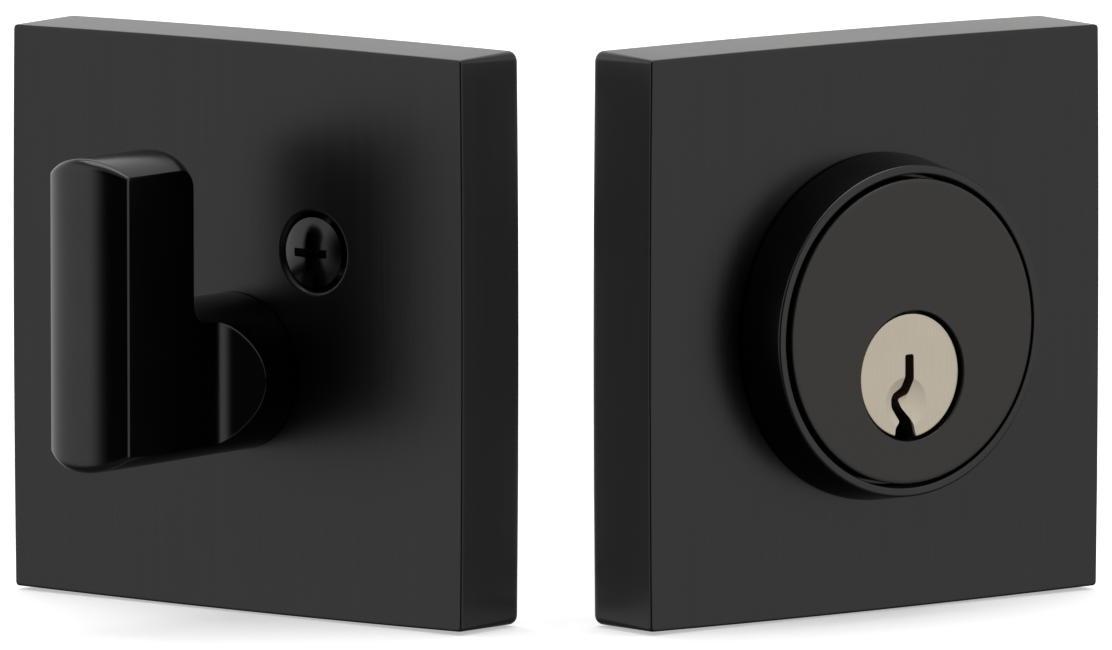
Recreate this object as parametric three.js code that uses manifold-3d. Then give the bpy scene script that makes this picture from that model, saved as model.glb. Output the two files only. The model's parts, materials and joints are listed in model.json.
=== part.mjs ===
// A single-cylinder deadbolt door lock, laid out as it comes out of its box: the inside trim with its
// thumbturn and the outside trim with its key cylinder stand in a V, and the bolt unit and the strike lie
// behind them. Each trim is drawn in its own frame: x to the right, y from its front into the door, z up,
// with y = 0 on the face of the door. The bolt unit is drawn with y along its bolt, out of the door's edge.

import * as THREE from 'three';
import { mergeVertices } from 'three/addons/utils/BufferGeometryUtils.js';
import Module from 'manifold-3d';

const wasm = await Module();
wasm.setup();

// Driving dimensions, in millimetres and degrees.
const gap = 0.3;
const rose = { side: 66.7, frontSide: 66.2, thick: 10.75, wall: 2.5, rim: 2.6, corner: 0.8, edge: 0.25 };
const layout = { turn: 37.5, spread: 37.2, kitSide: 36, boltFace: 140, strikeBack: 118 };
const axisDrop = 5.2;
const turn = {
  hubRadius: 9.2,
  hubShoulder: 5.8,
  halfWidth: 5.75,
  facetSlope: 1.18,
  front: 28.9,
  gripBack: 12.8,
  top: 22,
  frontCorner: 1.1,
  backCorner: 3,
  bossRadius: 6.5,
};
const throughScrew = {
  side: 11.6,
  rise: 9.4,
  headRadius: 4.1,
  shankRadius: 2.08,
  seatRadius: 4.9,
  clearance: 0.5,
  length: 35.4,
  slotLong: 4.8,
  slotWide: 1.2,
};
const backPlate = { side: 57, thick: 1.6, corner: 5 };
const collar = {
  baseRadius: 20.3,
  frontRadius: 19.3,
  landRadius: 18.25,
  depth: 6.35,
  lip: 3,
  lipRadius: 15.8,
};
const housing = {
  faceRadius: 17.75,
  faceAt: 6.7,
  neckRadius: 15.5,
  neckEnd: -23,
  postRadius: 3.6,
  postEnd: -32.7,
  threadRadius: 1.8,
};
const plug = { radius: 6.35, flangeRadius: 7.25, faceAt: 6.15, flangeBack: 4.5, end: -23.6 };
const pins = {
  count: 5,
  first: -2,
  pitch: 3.81,
  radius: 1.45,
  chamberRadius: 1.75,
  keyPinLengths: [4.4, 5.3, 3.9, 5.6, 4.8],
  driverLength: 3.8,
  springRadius: 1.15,
  springWire: 0.16,
  springCoils: 5,
  top: 12.6,
};
const tailpiece = { wide: 6.2, thick: 2.2, end: -51.4, headRadius: 5.5 };
const bolt = {
  wide: 17,
  thick: 11.5,
  head: 36,
  throwLength: 25.4,
  backset: 60.3,
  hubSide: 4.9,
  hubRadius: 4.8,
  crankPin: 1.5,
};
const boltCase = {
  halfWide: 11.2,
  halfThick: 5.8,
  wall: 1.2,
  front: -36.9,
  end: -80,
  sleeveRadius: 11.7,
  sleeveWall: 1.1,
};
const facePlate = { long: 57.2, wide: 25.4, thick: 1.5, corner: 6.3, screwSide: 22.2 };
const strike = {
  wide: 28.6,
  windowLong: 29,
  windowWide: 16,
  boxLong: 33,
  boxWide: 20,
  boxWall: 1.2,
  boxDeep: 26,
};
const woodScrew = { headRadius: 4, shankRadius: 2.1, headDepth: 2, length: 19 };

// Finishes.
const finish = (colour, roughness, metalness) =>
  new THREE.MeshStandardMaterial({ color: colour, roughness, metalness });
const blackTrim = finish('#3b3b3d', 0.42, 0.6);
const blackGloss = finish('#161618', 0.22, 0.6);
const satinNickel = finish('#c3b7a5', 0.35, 0.9);
const steel = finish('#a4a7aa', 0.4, 0.9);
const zincSteel = finish('#bdb9a8', 0.45, 0.85);
const brass = finish('#b8974a', 0.35, 0.9);
const springSteel = finish('#8d9096', 0.3, 0.9);

// Solids from three.js geometry.
function toSolid(geometry) {
  const bare = geometry.clone();
  bare.deleteAttribute('normal');
  bare.deleteAttribute('uv');
  const merged = mergeVertices(bare, 1e-4);
  const corners = merged.index.array;
  const triangles = [];
  for (let i = 0; i < corners.length; i += 3) {
    const [a, b, c] = [corners[i], corners[i + 1], corners[i + 2]];
    if (a !== b && b !== c && c !== a) {
      triangles.push(a, b, c);
    }
  }
  const vertProperties = new Float32Array(merged.attributes.position.array);
  const build = (order) =>
    new wasm.Manifold(new wasm.Mesh({ numProp: 3, vertProperties, triVerts: new Uint32Array(order) }));
  const solid = build(triangles);
  return solid.volume() > 0 ? solid : build(triangles.reverse());
}

function mesh(solid, name, material) {
  const { vertProperties, triVerts } = solid.getMesh();
  const geometry = new THREE.BufferGeometry();
  geometry.setAttribute('position', new THREE.BufferAttribute(new Float32Array(vertProperties), 3));
  geometry.setIndex(new THREE.BufferAttribute(new Uint32Array(triVerts), 1));
  geometry.computeVertexNormals();
  const piece = new THREE.Mesh(geometry, material);
  piece.name = name;
  return piece;
}

const join = (first, ...others) => others.reduce((whole, piece) => whole.add(piece), first);
const cut = (first, ...others) => others.reduce((whole, piece) => whole.subtract(piece), first);

function block(xRange, yRange, zRange) {
  const size = [xRange, yRange, zRange].map(([low, high]) => high - low);
  const middle = [xRange, yRange, zRange].map(([low, high]) => (low + high) / 2);
  return toSolid(new THREE.BoxGeometry(...size).translate(...middle));
}

// A piece turned about the y axis from a profile of [radius, y] points, then moved sideways.
function turned(profile, sides, x = 0, z = 0) {
  const points = profile.map(([radius, y]) => new THREE.Vector2(radius, y));
  return toSolid(new THREE.LatheGeometry(points, sides).translate(x, 0, z));
}

const rod = (radius, yRange, sides, x = 0, z = 0) =>
  turned([[0, yRange[0]], [radius, yRange[0]], [radius, yRange[1]], [0, yRange[1]]], sides, x, z);

function upright(radius, zRange, sides, x, y) {
  const height = zRange[1] - zRange[0];
  const cylinder = new THREE.CylinderGeometry(radius, radius, height, sides).rotateX(Math.PI / 2);
  return toSolid(cylinder.translate(x, y, (zRange[0] + zRange[1]) / 2));
}

function ring(outer, inner, yRange, sides) {
  const [low, high] = yRange;
  return turned([[inner, low], [outer, low], [outer, high], [inner, high], [inner, low]], sides);
}

function roundedRectangle(wide, high, radius) {
  const [x, y] = [wide / 2, high / 2];
  const shape = new THREE.Shape();
  shape.absarc(x - radius, y - radius, radius, 0, Math.PI / 2);
  shape.absarc(radius - x, y - radius, radius, Math.PI / 2, Math.PI);
  shape.absarc(radius - x, radius - y, radius, Math.PI, Math.PI * 1.5);
  shape.absarc(x - radius, radius - y, radius, Math.PI * 1.5, Math.PI * 2);
  return shape;
}

// A flat piece whose outline lies in x and z, between two places along y.
function plate(shape, yRange, curveSegments = 6) {
  const depth = yRange[1] - yRange[0];
  const flat = new THREE.ExtrudeGeometry(shape, { depth, bevelEnabled: false, curveSegments });
  return toSolid(flat.rotateX(Math.PI / 2).translate(0, yRange[1], 0));
}

// A flat piece whose outline lies in x and y, between two heights.
function slab(shape, zRange, curveSegments = 6) {
  const depth = zRange[1] - zRange[0];
  const flat = new THREE.ExtrudeGeometry(shape, { depth, bevelEnabled: false, curveSegments });
  return toSolid(flat.translate(0, 0, zRange[0]));
}

const polygon = (points) => new THREE.Shape(points.map(([x, y]) => new THREE.Vector2(x, y)));

// A closed skin over rings with equal numbers of points; flatten gives the plane of the end caps.
function loft(rings, flatten) {
  const count = rings[0].length;
  const positions = rings.flat().flatMap((point) => point.toArray());
  const index = [];
  for (let level = 0; level + 1 < rings.length; level += 1) {
    for (let i = 0; i < count; i += 1) {
      const next = (i + 1) % count;
      const [a, b] = [level * count + i, level * count + next];
      index.push(a, b, b + count, a, b + count, a + count);
    }
  }
  const last = (rings.length - 1) * count;
  const outline = rings[0].map(flatten);
  const turnsLeft = (points) => THREE.ShapeUtils.area(points) > 0;
  const sameWay = (cap) => turnsLeft(cap.map((i) => outline[i])) === turnsLeft(outline);
  for (const cap of THREE.ShapeUtils.triangulateShape([...outline], [])) {
    const [a, b, c] = sameWay(cap) ? cap : cap.toReversed();
    index.push(a, c, b, last + a, last + b, last + c);
  }
  const skin = new THREE.BufferGeometry();
  skin.setAttribute('position', new THREE.Float32BufferAttribute(positions, 3));
  skin.setIndex(index);
  return toSolid(skin);
}

// A place in front of a rose, by its distance from the rose's face.
const outward = (distance) => -rose.thick - distance;

// The plates of the two trims: a square shell, drawn in a little towards its front.
function roseShell() {
  const levels = [
    [0, rose.side - 0.9, rose.corner],
    [-0.5, rose.side, rose.corner],
    [rose.edge - rose.thick, rose.frontSide, rose.corner / 2],
    [-rose.thick, rose.frontSide - 2 * rose.edge, rose.corner / 2],
  ];
  const rings = levels.map(([y, side, corner]) =>
    roundedRectangle(side, side, corner)
      .getPoints(4)
      .slice(0, -1)
      .map((point) => new THREE.Vector3(point.x, y, point.y)),
  );
  const shell = loft(rings, (point) => new THREE.Vector2(point.x, point.z));
  const inside = rose.side - 2 * rose.rim;
  return cut(shell, plate(roundedRectangle(inside, inside, 2), [rose.wall - rose.thick, 1]));
}

function backingPlate(holes) {
  const outline = roundedRectangle(backPlate.side, backPlate.side, backPlate.corner);
  return cut(plate(outline, [-backPlate.thick, 0]), ...holes);
}

const screwPlaces = [['left', -throughScrew.side], ['right', throughScrew.side]];

// The inside trim.
function interiorRose() {
  const seats = screwPlaces.map(([, x]) => {
    const profile = [
      [0, outward(1)],
      [throughScrew.seatRadius, outward(1)],
      [throughScrew.seatRadius, outward(0)],
      [throughScrew.shankRadius + throughScrew.clearance, outward(-2.3)],
      [throughScrew.shankRadius + throughScrew.clearance, outward(-4)],
      [0, outward(-4)],
    ];
    return turned(profile, 28, x, throughScrew.rise);
  });
  const boss = rod(turn.bossRadius + gap, [outward(1), outward(-4)], 36, 0, -axisDrop);
  return mesh(cut(roseShell(), boss, ...seats), 'interior_rose', blackTrim);
}

function interiorBackingPlate() {
  const { shankRadius, clearance, rise } = throughScrew;
  const holes = screwPlaces.map(([, x]) => rod(shankRadius + clearance, [-3, 1], 20, x, rise));
  const centre = rod(10, [-3, 1], 36, 0, -axisDrop);
  return mesh(backingPlate([centre, ...holes]), 'interior_backing_plate', zincSteel);
}

function throughScrewPiece([side, x]) {
  const { headRadius, shankRadius, length, rise, slotLong, slotWide } = throughScrew;
  const profile = [
    [0, outward(0.95)],
    [1.6, outward(0.82)],
    [3, outward(0.42)],
    [headRadius, outward(-0.1)],
    [shankRadius, outward(-2.1)],
    [shankRadius, outward(-length + 1)],
    [shankRadius - 0.7, outward(-length)],
    [0, outward(-length)],
  ];
  const slot = [-slotLong / 2, slotLong / 2];
  const bar = [-slotWide / 2, slotWide / 2];
  const depth = [outward(1.5), outward(-0.7)];
  const cross = [block(slot, depth, bar), block(bar, depth, slot)].map((arm) => arm.translate([x, 0, rise]));
  return mesh(cut(turned(profile, 24, x, rise), ...cross), `through_screw_${side}`, blackGloss);
}

// The lever's side outline, set in by a distance, as points of [away from the rose, up]. A crowned face
// is the same outline set in a little more towards each side of the lever.
function leverOutline(inset) {
  const { front, top, gripBack, frontCorner, backCorner, hubRadius } = turn;
  const [heel, footTop] = [-axisDrop - hubRadius, -axisDrop + hubRadius];
  const [frontRadius, backRadius] = [frontCorner, backCorner].map((size) => size - 0.35 * inset);
  const hollow = 0.2 + inset;
  const corners = [
    [1, heel + inset, 0],
    [front - inset, heel + inset, frontRadius],
    [front - inset, top - inset, frontRadius],
    [gripBack + inset, top - inset, backRadius],
    [gripBack + inset, footTop - inset, hollow],
    [1, footTop - inset, 0],
  ];
  return corners.flatMap(([x, y, radius], i) => {
    if (radius === 0) {
      return [new THREE.Vector2(x, y)];
    }
    const from = corners[i - 1];
    const to = corners[(i + 1) % corners.length];
    const inwards = new THREE.Vector2(from[0] - x, from[1] - y).normalize();
    const onwards = new THREE.Vector2(to[0] - x, to[1] - y).normalize();
    const middle = new THREE.Vector2(x, y).addScaledVector(inwards, radius).addScaledVector(onwards, radius);
    return [0, 0.25, 0.5, 0.75, 1].map((step) => {
      const angle = (step * Math.PI) / 2;
      const point = middle.clone().addScaledVector(onwards, -radius * Math.cos(angle));
      return point.addScaledVector(inwards, -radius * Math.sin(angle));
    });
  });
}

function lever() {
  const { hubRadius, halfWidth } = turn;
  const steps = [-1, -0.8, -0.55, -0.28, 0, 0.28, 0.55, 0.8, 1];
  const rings = steps.map((step) => {
    const x = step * halfWidth;
    const inset = hubRadius - Math.sqrt(hubRadius ** 2 - x ** 2);
    return leverOutline(inset).map((point) => new THREE.Vector3(x, outward(point.x), point.y));
  });
  return loft(rings, (point) => new THREE.Vector2(point.y, point.z));
}

function thumbturn() {
  const { hubRadius, hubShoulder, halfWidth, facetSlope, bossRadius } = turn;
  const reach = hubRadius + 0.2;
  const climb = (x) => outward(hubShoulder + facetSlope * (hubRadius - x));
  const roof = polygon([
    [-reach, outward(gap)],
    [-reach, climb(reach)],
    [-halfWidth - 1, climb(halfWidth + 1)],
    [-halfWidth - 0.3, climb(halfWidth - 0.2)],
    [-halfWidth, climb(halfWidth - 1.1)],
    [halfWidth, climb(halfWidth - 1.1)],
    [halfWidth + 0.3, climb(halfWidth - 0.2)],
    [halfWidth + 1, climb(halfWidth + 1)],
    [reach, climb(reach)],
    [reach, outward(gap)],
  ]);
  const round = rod(hubRadius, [outward(14), outward(gap)], 48, 0, -axisDrop);
  const hub = slab(roof, [-20, 10]).intersect(round);
  const boss = turned(
    [
      [0, outward(1)],
      [bossRadius, outward(1)],
      [bossRadius, outward(-3.7)],
      [bossRadius - 1.1, outward(-3.7)],
      [bossRadius - 1.1, outward(-4.9)],
      [bossRadius, outward(-4.9)],
      [bossRadius, outward(-5.6)],
      [0, outward(-5.6)],
    ],
    36,
    0,
    -axisDrop,
  );
  const socket = rod(2.8, [outward(-1.5), outward(-6)], 20, 0, -axisDrop);
  return mesh(cut(join(lever(), hub, boss), socket), 'thumbturn', blackTrim);
}

function thumbturnSpindle() {
  const stub = rod(2.5, [outward(-1.8), outward(-6.4)], 20, 0, -axisDrop);
  const body = rod(5, [outward(-5.9), outward(-12.5)], 28, 0, -axisDrop);
  const width = tailpiece.thick / 2 + 0.2;
  const height = tailpiece.wide / 2 + 0.2;
  const slot = block([-width, width], [outward(-7.5), outward(-14)], [-height, height]);
  return mesh(cut(join(stub, body), slot.translate([0, 0, -axisDrop])), 'thumbturn_spindle', zincSteel);
}

function thumbturnWasher() {
  const washer = ring(9.5, turn.bossRadius + gap, [outward(-2.8), outward(-3.3)], 28);
  return mesh(washer.translate([0, 0, -axisDrop]), 'thumbturn_washer', steel);
}

function thumbturnClip() {
  const full = ring(8.6, turn.bossRadius - 0.8, [outward(-3.95), outward(-4.65)], 28);
  const mouth = block([-2.6, 2.6], [outward(-3), outward(-6)], [-10, 0]);
  return mesh(cut(full, mouth).translate([0, 0, -axisDrop]), 'thumbturn_clip', springSteel);
}

// The outside trim.
function exteriorRose() {
  const hole = rod(collar.lipRadius, [outward(1), outward(-4)], 48);
  return mesh(cut(roseShell(), hole), 'exterior_rose', blackTrim);
}

function exteriorBackingPlate() {
  const reach = Math.hypot(throughScrew.side, throughScrew.rise) + housing.postRadius + 0.4;
  return mesh(backingPlate([rod(reach, [-3, 1], 48)]), 'exterior_backing_plate', zincSteel);
}

function guardCollar() {
  const { baseRadius, frontRadius, landRadius, depth, lip, lipRadius } = collar;
  const profile = [
    [lipRadius, outward(gap)],
    [baseRadius, outward(gap)],
    [frontRadius + 0.25, outward(depth - 0.2)],
    [frontRadius, outward(depth)],
    [landRadius + 0.1, outward(depth)],
    [landRadius, outward(depth - 0.1)],
    [landRadius, outward(lip)],
    [lipRadius, outward(lip)],
    [lipRadius, outward(gap)],
  ];
  return mesh(turned(profile, 60), 'guard_collar', blackTrim);
}

const pinPlaces = Array.from({ length: pins.count }, (_, i) => outward(pins.first - i * pins.pitch));
const chamber = (zRange) => (y) => upright(pins.chamberRadius, zRange, 12, 0, y);

function cylinderHousing() {
  const { faceRadius, faceAt, neckRadius, neckEnd, postRadius, postEnd, threadRadius } = housing;
  const { rise } = throughScrew;
  const [front, below] = [outward(faceAt + 1), -axisDrop];
  const face = ring(faceRadius, 2, [outward(faceAt), outward(collar.lip + gap)], 60);
  const neck = ring(neckRadius, 2, [outward(faceAt - 1), outward(neckEnd)], 48);
  const core = rod(3, [outward(faceAt), outward(neckEnd)], 12);
  const posts = screwPlaces.map(([, x]) => rod(postRadius, [outward(-3.2), outward(postEnd)], 24, x, rise));
  const threadRange = [outward(-18), outward(postEnd - 1)];
  const threads = screwPlaces.map(([, x]) => rod(threadRadius, threadRange, 16, x, rise));
  const counterbore = rod(plug.flangeRadius + 0.35, [front, outward(plug.flangeBack - gap)], 48, 0, below);
  const bore = rod(plug.radius + gap, [front, outward(neckEnd - 1)], 36, 0, below);
  const chambers = pinPlaces.map(chamber([-2, pins.top + 1]));
  const [firstPin, lastPin] = [pinPlaces[0], pinPlaces[pins.count - 1]];
  const channel = block([-2.4, 2.4], [firstPin - 3, lastPin + 3], [pins.top, neckRadius + 1]);
  const whole = join(face, neck, core, ...posts);
  return mesh(cut(whole, ...threads, counterbore, bore, ...chambers, channel), 'cylinder_housing', blackTrim);
}

// The keyway, from its top down one side and up the other, about the centre of the plug.
const keywayOutline = [
  [-0.65, 2.5], [-0.65, -0.1], [-1.15, -1.3], [-2.4, -2], [-2.65, -2.6], [-2.6, -3.55], [-1.4, -5.3],
  [-2, -5.9], [-2.3, -7.6], [1.05, -7.6], [0.65, -6.6], [0.45, -5.6], [0.05, -4.85], [-1, -3.7],
  [-1.6, -2.65], [-0.1, -2.15], [0.65, -0.45], [0.6, 2.5],
];

function keyPlug() {
  const { radius, flangeRadius, faceAt, flangeBack, end } = plug;
  const profile = [
    [0, outward(faceAt)],
    [flangeRadius, outward(faceAt)],
    [flangeRadius, outward(flangeBack)],
    [radius, outward(flangeBack)],
    [radius, outward(end)],
    [0, outward(end)],
  ];
  const keyway = plate(polygon(keywayOutline), [outward(faceAt + 1), outward(end - 1)]);
  const chambers = pinPlaces.map(chamber([-1, radius + 1]));
  const solid = cut(turned(profile, 48), keyway, ...chambers);
  return mesh(solid.translate([0, 0, -axisDrop]), 'key_plug', satinNickel);
}

function plugRetainer() {
  const [front, floor, back] = [plug.end - gap, plug.end - gap - 2.8, plug.end - gap - 4];
  const profile = [
    [5.9, outward(front)],
    [8.2, outward(front)],
    [8.2, outward(back)],
    [4, outward(back)],
    [4, outward(floor)],
    [5.9, outward(floor)],
    [5.9, outward(front)],
  ];
  return mesh(turned(profile, 36).translate([0, 0, -axisDrop]), 'plug_retainer', zincSteel);
}

function tailpieceBar() {
  const { wide, thick, end, headRadius } = tailpiece;
  const head = rod(headRadius, [outward(plug.end - 0.7), outward(plug.end - 2.6)], 28);
  const across = [-thick / 2, thick / 2];
  const blade = block(across, [outward(plug.end - 1), outward(end + 3)], [-wide / 2, wide / 2]);
  const tip = block(across, [outward(end + 3.5), outward(end)], [0.8 - wide / 2, wide / 2 - 0.8]);
  return mesh(join(head, blade, tip).translate([0, 0, -axisDrop]), 'tailpiece', steel);
}

const keyPinBottom = -axisDrop - 0.7;
const driverBottom = -axisDrop + plug.radius + 0.45;

function keyPin(y, i) {
  const top = keyPinBottom + pins.keyPinLengths[i];
  const shaft = new THREE.CylinderGeometry(pins.radius, pins.radius, top - keyPinBottom - 1, 12);
  const tip = new THREE.CylinderGeometry(pins.radius, 0.5, 1, 12);
  shaft.rotateX(Math.PI / 2).translate(0, y, (top + keyPinBottom + 1) / 2);
  tip.rotateX(Math.PI / 2).translate(0, y, keyPinBottom + 0.5);
  return mesh(join(toSolid(shaft), toSolid(tip)), `key_pin_${i + 1}`, brass);
}

function driverPin(y, i) {
  const range = [driverBottom, driverBottom + pins.driverLength];
  return mesh(upright(pins.radius, range, 12, 0, y), `driver_pin_${i + 1}`, brass);
}

class Helix extends THREE.Curve {
  constructor(radius, low, high, coils, y) {
    super();
    Object.assign(this, { radius, low, high, coils, y });
  }

  getPoint(t, target = new THREE.Vector3()) {
    const angle = t * this.coils * 2 * Math.PI;
    const z = this.low + t * (this.high - this.low);
    return target.set(this.radius * Math.cos(angle), this.y + this.radius * Math.sin(angle), z);
  }
}

function pinSpring(y, i) {
  const low = driverBottom + pins.driverLength + 0.4;
  const path = new Helix(pins.springRadius, low, pins.top - 0.5, pins.springCoils, y);
  const half = pins.springWire;
  const wire = polygon([[-half, 0], [0, -half], [half, 0], [0, half]]);
  const coil = new THREE.ExtrudeGeometry(wire, { extrudePath: path, steps: pins.springCoils * 8 });
  return mesh(toSolid(coil), `pin_spring_${i + 1}`, springSteel);
}

function pinCover() {
  const [firstPin, lastPin] = [pinPlaces[0], pinPlaces[pins.count - 1]];
  const strip = block([-2.1, 2.1], [firstPin - 2.7, lastPin + 2.7], [pins.top + gap, pins.top + 1.5]);
  return mesh(strip, 'pin_chamber_cover', zincSteel);
}

// The bolt unit, with its crank turning about z.
const screwSeat = (x) => turned([[0, 0.3], [woodScrew.headRadius + 0.9, 0.3], [2.7, -2.2], [0, -2.2]], 20, x);

function facePiece(name, inset, yRange, material) {
  const { long, wide, corner, screwSide } = facePlate;
  const outline = roundedRectangle(long - inset, wide - inset, corner - inset / 2);
  const window = roundedRectangle(bolt.wide + 0.8, bolt.thick + 0.8, 2.2);
  const holes = [-screwSide, screwSide].map(screwSeat);
  const backs = [-screwSide, screwSide].map((x) => rod(2.7, [-4, 0], 16, x));
  return mesh(cut(plate(outline, yRange), plate(window, [-5, 1]), ...holes, ...backs), name, material);
}

function boltSleeve() {
  const { sleeveRadius, sleeveWall, front } = boltCase;
  const tube = ring(sleeveRadius, sleeveRadius - sleeveWall, [front + gap, -3.4], 40);
  return mesh(tube, 'bolt_sleeve', zincSteel);
}

const rivet = { radius: 1.45, holeRadius: 1.75 };
const rivetPlaces = [[7, -76], [7.6, -40]];

function caseHalf(name, side) {
  const { halfWide, halfThick, wall, front, end } = boltCase;
  const [low, high] = side > 0 ? [0.15, halfThick] : [-halfThick, -0.15];
  const body = block([-halfWide, halfWide], [end, front], [low, high]);
  const inner = halfThick - wall;
  const hollow = block([wall - halfWide, halfWide - wall], [end + wall, front + 1], [-inner, inner]);
  const hubHole = upright(bolt.hubRadius + 0.4, [-9, 9], 32, bolt.hubSide, -bolt.backset);
  const crankWindow = block([-halfWide - 1, 0], [-bolt.backset - 15.5, -bolt.backset + 15.5], [-4, 3.6]);
  const rivets = rivetPlaces.map(([x, y]) => upright(rivet.holeRadius, [-9, 9], 16, x, y));
  return mesh(cut(body, hollow, hubHole, crankWindow, ...rivets), name, zincSteel);
}

function caseRivet([x, y], i) {
  const length = boltCase.halfThick - 0.05;
  return mesh(upright(rivet.radius, [-length, length], 16, x, y), `case_rivet_${i + 1}`, steel);
}

const crankReach = bolt.throwLength / Math.SQRT2;
const crankDrop = crankReach / Math.SQRT2;
const crankPinAt = [bolt.hubSide - crankDrop, -bolt.backset - crankDrop];

function deadBolt() {
  const { wide, thick, head } = bolt;
  const nose = plate(roundedRectangle(wide, thick, 2), [-head, -0.2]);
  const tail = block([-9, -1], [crankPinAt[1] - 4.5, 1 - head], [-3.4, -0.6]);
  const slotHalf = bolt.crankPin + 0.85;
  const slotRange = [crankPinAt[1] - slotHalf, crankPinAt[1] + slotHalf];
  const slot = block([-10, crankPinAt[0] + 3.2], slotRange, [-4, 0]);
  const pinBore = rod(3, [-head - 1, -6], 24, 3);
  return mesh(cut(join(nose, tail), slot, pinBore), 'dead_bolt', satinNickel);
}

function hardenedPin() {
  return mesh(rod(2.7, [1.5 - bolt.head, -6.4], 24, 3), 'bolt_hardened_pin', steel);
}

function boltCrank() {
  const { hubRadius, hubSide, backset, crankPin } = bolt;
  const hub = upright(hubRadius, [-6.3, 6.3], 32, hubSide, -backset);
  const arm = new THREE.BoxGeometry(crankReach, 5, 2.5).rotateZ(Math.PI / 4);
  const armMiddle = [hubSide - crankDrop / 2, -backset - crankDrop / 2];
  const armSolid = toSolid(arm.translate(armMiddle[0], armMiddle[1], 1.65));
  const eye = upright(2.5, [0.4, 2.9], 24, ...crankPinAt);
  const pin = upright(crankPin, [-3.2, 1], 20, ...crankPinAt);
  const [slotWide, slotLong] = [tailpiece.thick / 2 + 0.2, tailpiece.wide / 2 + 0.2];
  const slot = block([-slotLong, slotLong], [-slotWide, slotWide], [-9, 9]);
  const whole = join(hub, armSolid, eye, pin);
  return mesh(cut(whole, slot.translate([hubSide, -backset, 0])), 'bolt_crank', zincSteel);
}

// Wood screws point along -y from a head whose top is at y = 0.
function woodScrewSolid() {
  const { headRadius, shankRadius, headDepth, length } = woodScrew;
  const profile = [
    [0, -length],
    [shankRadius * 0.75, 4 - length],
    [shankRadius, -length * 0.55],
    [shankRadius, -headDepth - 0.4],
    [headRadius, -0.2],
    [headRadius, 0],
    [0, 0],
  ];
  const [slot, bar, depth] = [[-2.3, 2.3], [-0.55, 0.55], [-1.5, 1]];
  return cut(turned(profile, 16), block(slot, depth, bar), block(bar, depth, slot));
}

const woodScrewPlaces = [-facePlate.screwSide, facePlate.screwSide];

function faceplateScrew(x, i) {
  return mesh(woodScrewSolid().translate([x, -0.1, 0]), `faceplate_screw_${i + 1}`, satinNickel);
}

// The strike, standing on its dust box with its face up.
function strikePlate() {
  const height = strike.boxDeep + gap;
  const outline = roundedRectangle(facePlate.long, strike.wide, facePlate.corner);
  const window = slab(roundedRectangle(strike.windowLong, strike.windowWide, 3), [height - 1, height + 3]);
  const holes = woodScrewPlaces.map((x) => {
    const seat = new THREE.CylinderGeometry(4.6, 2.6, 2, 20).rotateX(Math.PI / 2);
    return toSolid(seat.translate(x, 0, height + facePlate.thick - 0.9));
  });
  const clear = woodScrewPlaces.map((x) => upright(2.6, [height - 1, height + 1], 16, x, 0));
  const face = slab(outline, [height, height + facePlate.thick]);
  return mesh(cut(face, window, ...holes, ...clear), 'strike_plate', satinNickel);
}

function strikeBox() {
  const { boxLong, boxWide, boxWall, boxDeep } = strike;
  const outside = slab(roundedRectangle(boxLong, boxWide, 3), [0, boxDeep]);
  const inside = roundedRectangle(boxLong - 2 * boxWall, boxWide - 2 * boxWall, 3 - boxWall);
  return mesh(cut(outside, slab(inside, [boxWall, boxDeep + 1])), 'strike_box', zincSteel);
}

function strikeScrew(x, i) {
  const solid = woodScrewSolid().rotate([90, 0, 0]);
  const height = strike.boxDeep + gap + facePlate.thick;
  return mesh(solid.translate([x, 0, height]), `strike_screw_${i + 1}`, satinNickel);
}

// The whole lock.
function inTrim(side, ...pieces) {
  const trim = new THREE.Group();
  const angle = THREE.MathUtils.degToRad(layout.turn) * side;
  trim.rotation.z = angle;
  const back = new THREE.Vector2(-Math.sin(angle), Math.cos(angle)).multiplyScalar(rose.thick);
  trim.position.set(side * layout.spread + back.x, back.y, rose.side / 2);
  trim.add(...pieces);
  return trim;
}

const interiorTrim = inTrim(
  -1,
  interiorRose(),
  interiorBackingPlate(),
  thumbturn(),
  thumbturnSpindle(),
  thumbturnWasher(),
  thumbturnClip(),
  ...screwPlaces.map(throughScrewPiece),
);

const exteriorTrim = inTrim(
  1,
  exteriorRose(),
  exteriorBackingPlate(),
  guardCollar(),
  cylinderHousing(),
  keyPlug(),
  plugRetainer(),
  tailpieceBar(),
  pinCover(),
  ...pinPlaces.map(keyPin),
  ...pinPlaces.map(driverPin),
  ...pinPlaces.map(pinSpring),
);

const boltUnit = new THREE.Group();
const sleeveDrop = facePlate.wide / 2 - boltCase.sleeveRadius;
const tilt = Math.atan(sleeveDrop / (-boltCase.front - gap - facePlate.thick));
const boltRise = (facePlate.wide / 2) * Math.cos(tilt) + facePlate.thick * Math.sin(tilt);
boltUnit.rotation.x = tilt;
boltUnit.position.set(-layout.kitSide, layout.boltFace, boltRise);
boltUnit.add(
  facePiece('bolt_faceplate', 0, [-facePlate.thick, 0], satinNickel),
  facePiece('bolt_backing_plate', 2.4, [-3.1, -facePlate.thick - gap / 2], zincSteel),
  boltSleeve(),
  caseHalf('bolt_case_upper', 1),
  caseHalf('bolt_case_lower', -1),
  ...rivetPlaces.map(caseRivet),
  deadBolt(),
  hardenedPin(),
  boltCrank(),
  ...woodScrewPlaces.map(faceplateScrew),
);

const strikeKit = new THREE.Group();
strikeKit.position.set(layout.kitSide, layout.strikeBack, 0);
strikeKit.add(strikePlate(), strikeBox(), ...woodScrewPlaces.map(strikeScrew));

const lock = new THREE.Group();
lock.add(interiorTrim, exteriorTrim, boltUnit, strikeKit);

// The origin is the middle of the base.
lock.updateMatrixWorld(true);
const extent = new THREE.Box3().setFromObject(lock, true);
lock.position.set(0, -(extent.min.y + extent.max.y) / 2, -extent.min.z);

export default lock;
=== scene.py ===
import json
import math
import bmesh
import bpy
from mathutils import Matrix, Vector
from mathutils.geometry import tessellate_polygon


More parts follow.
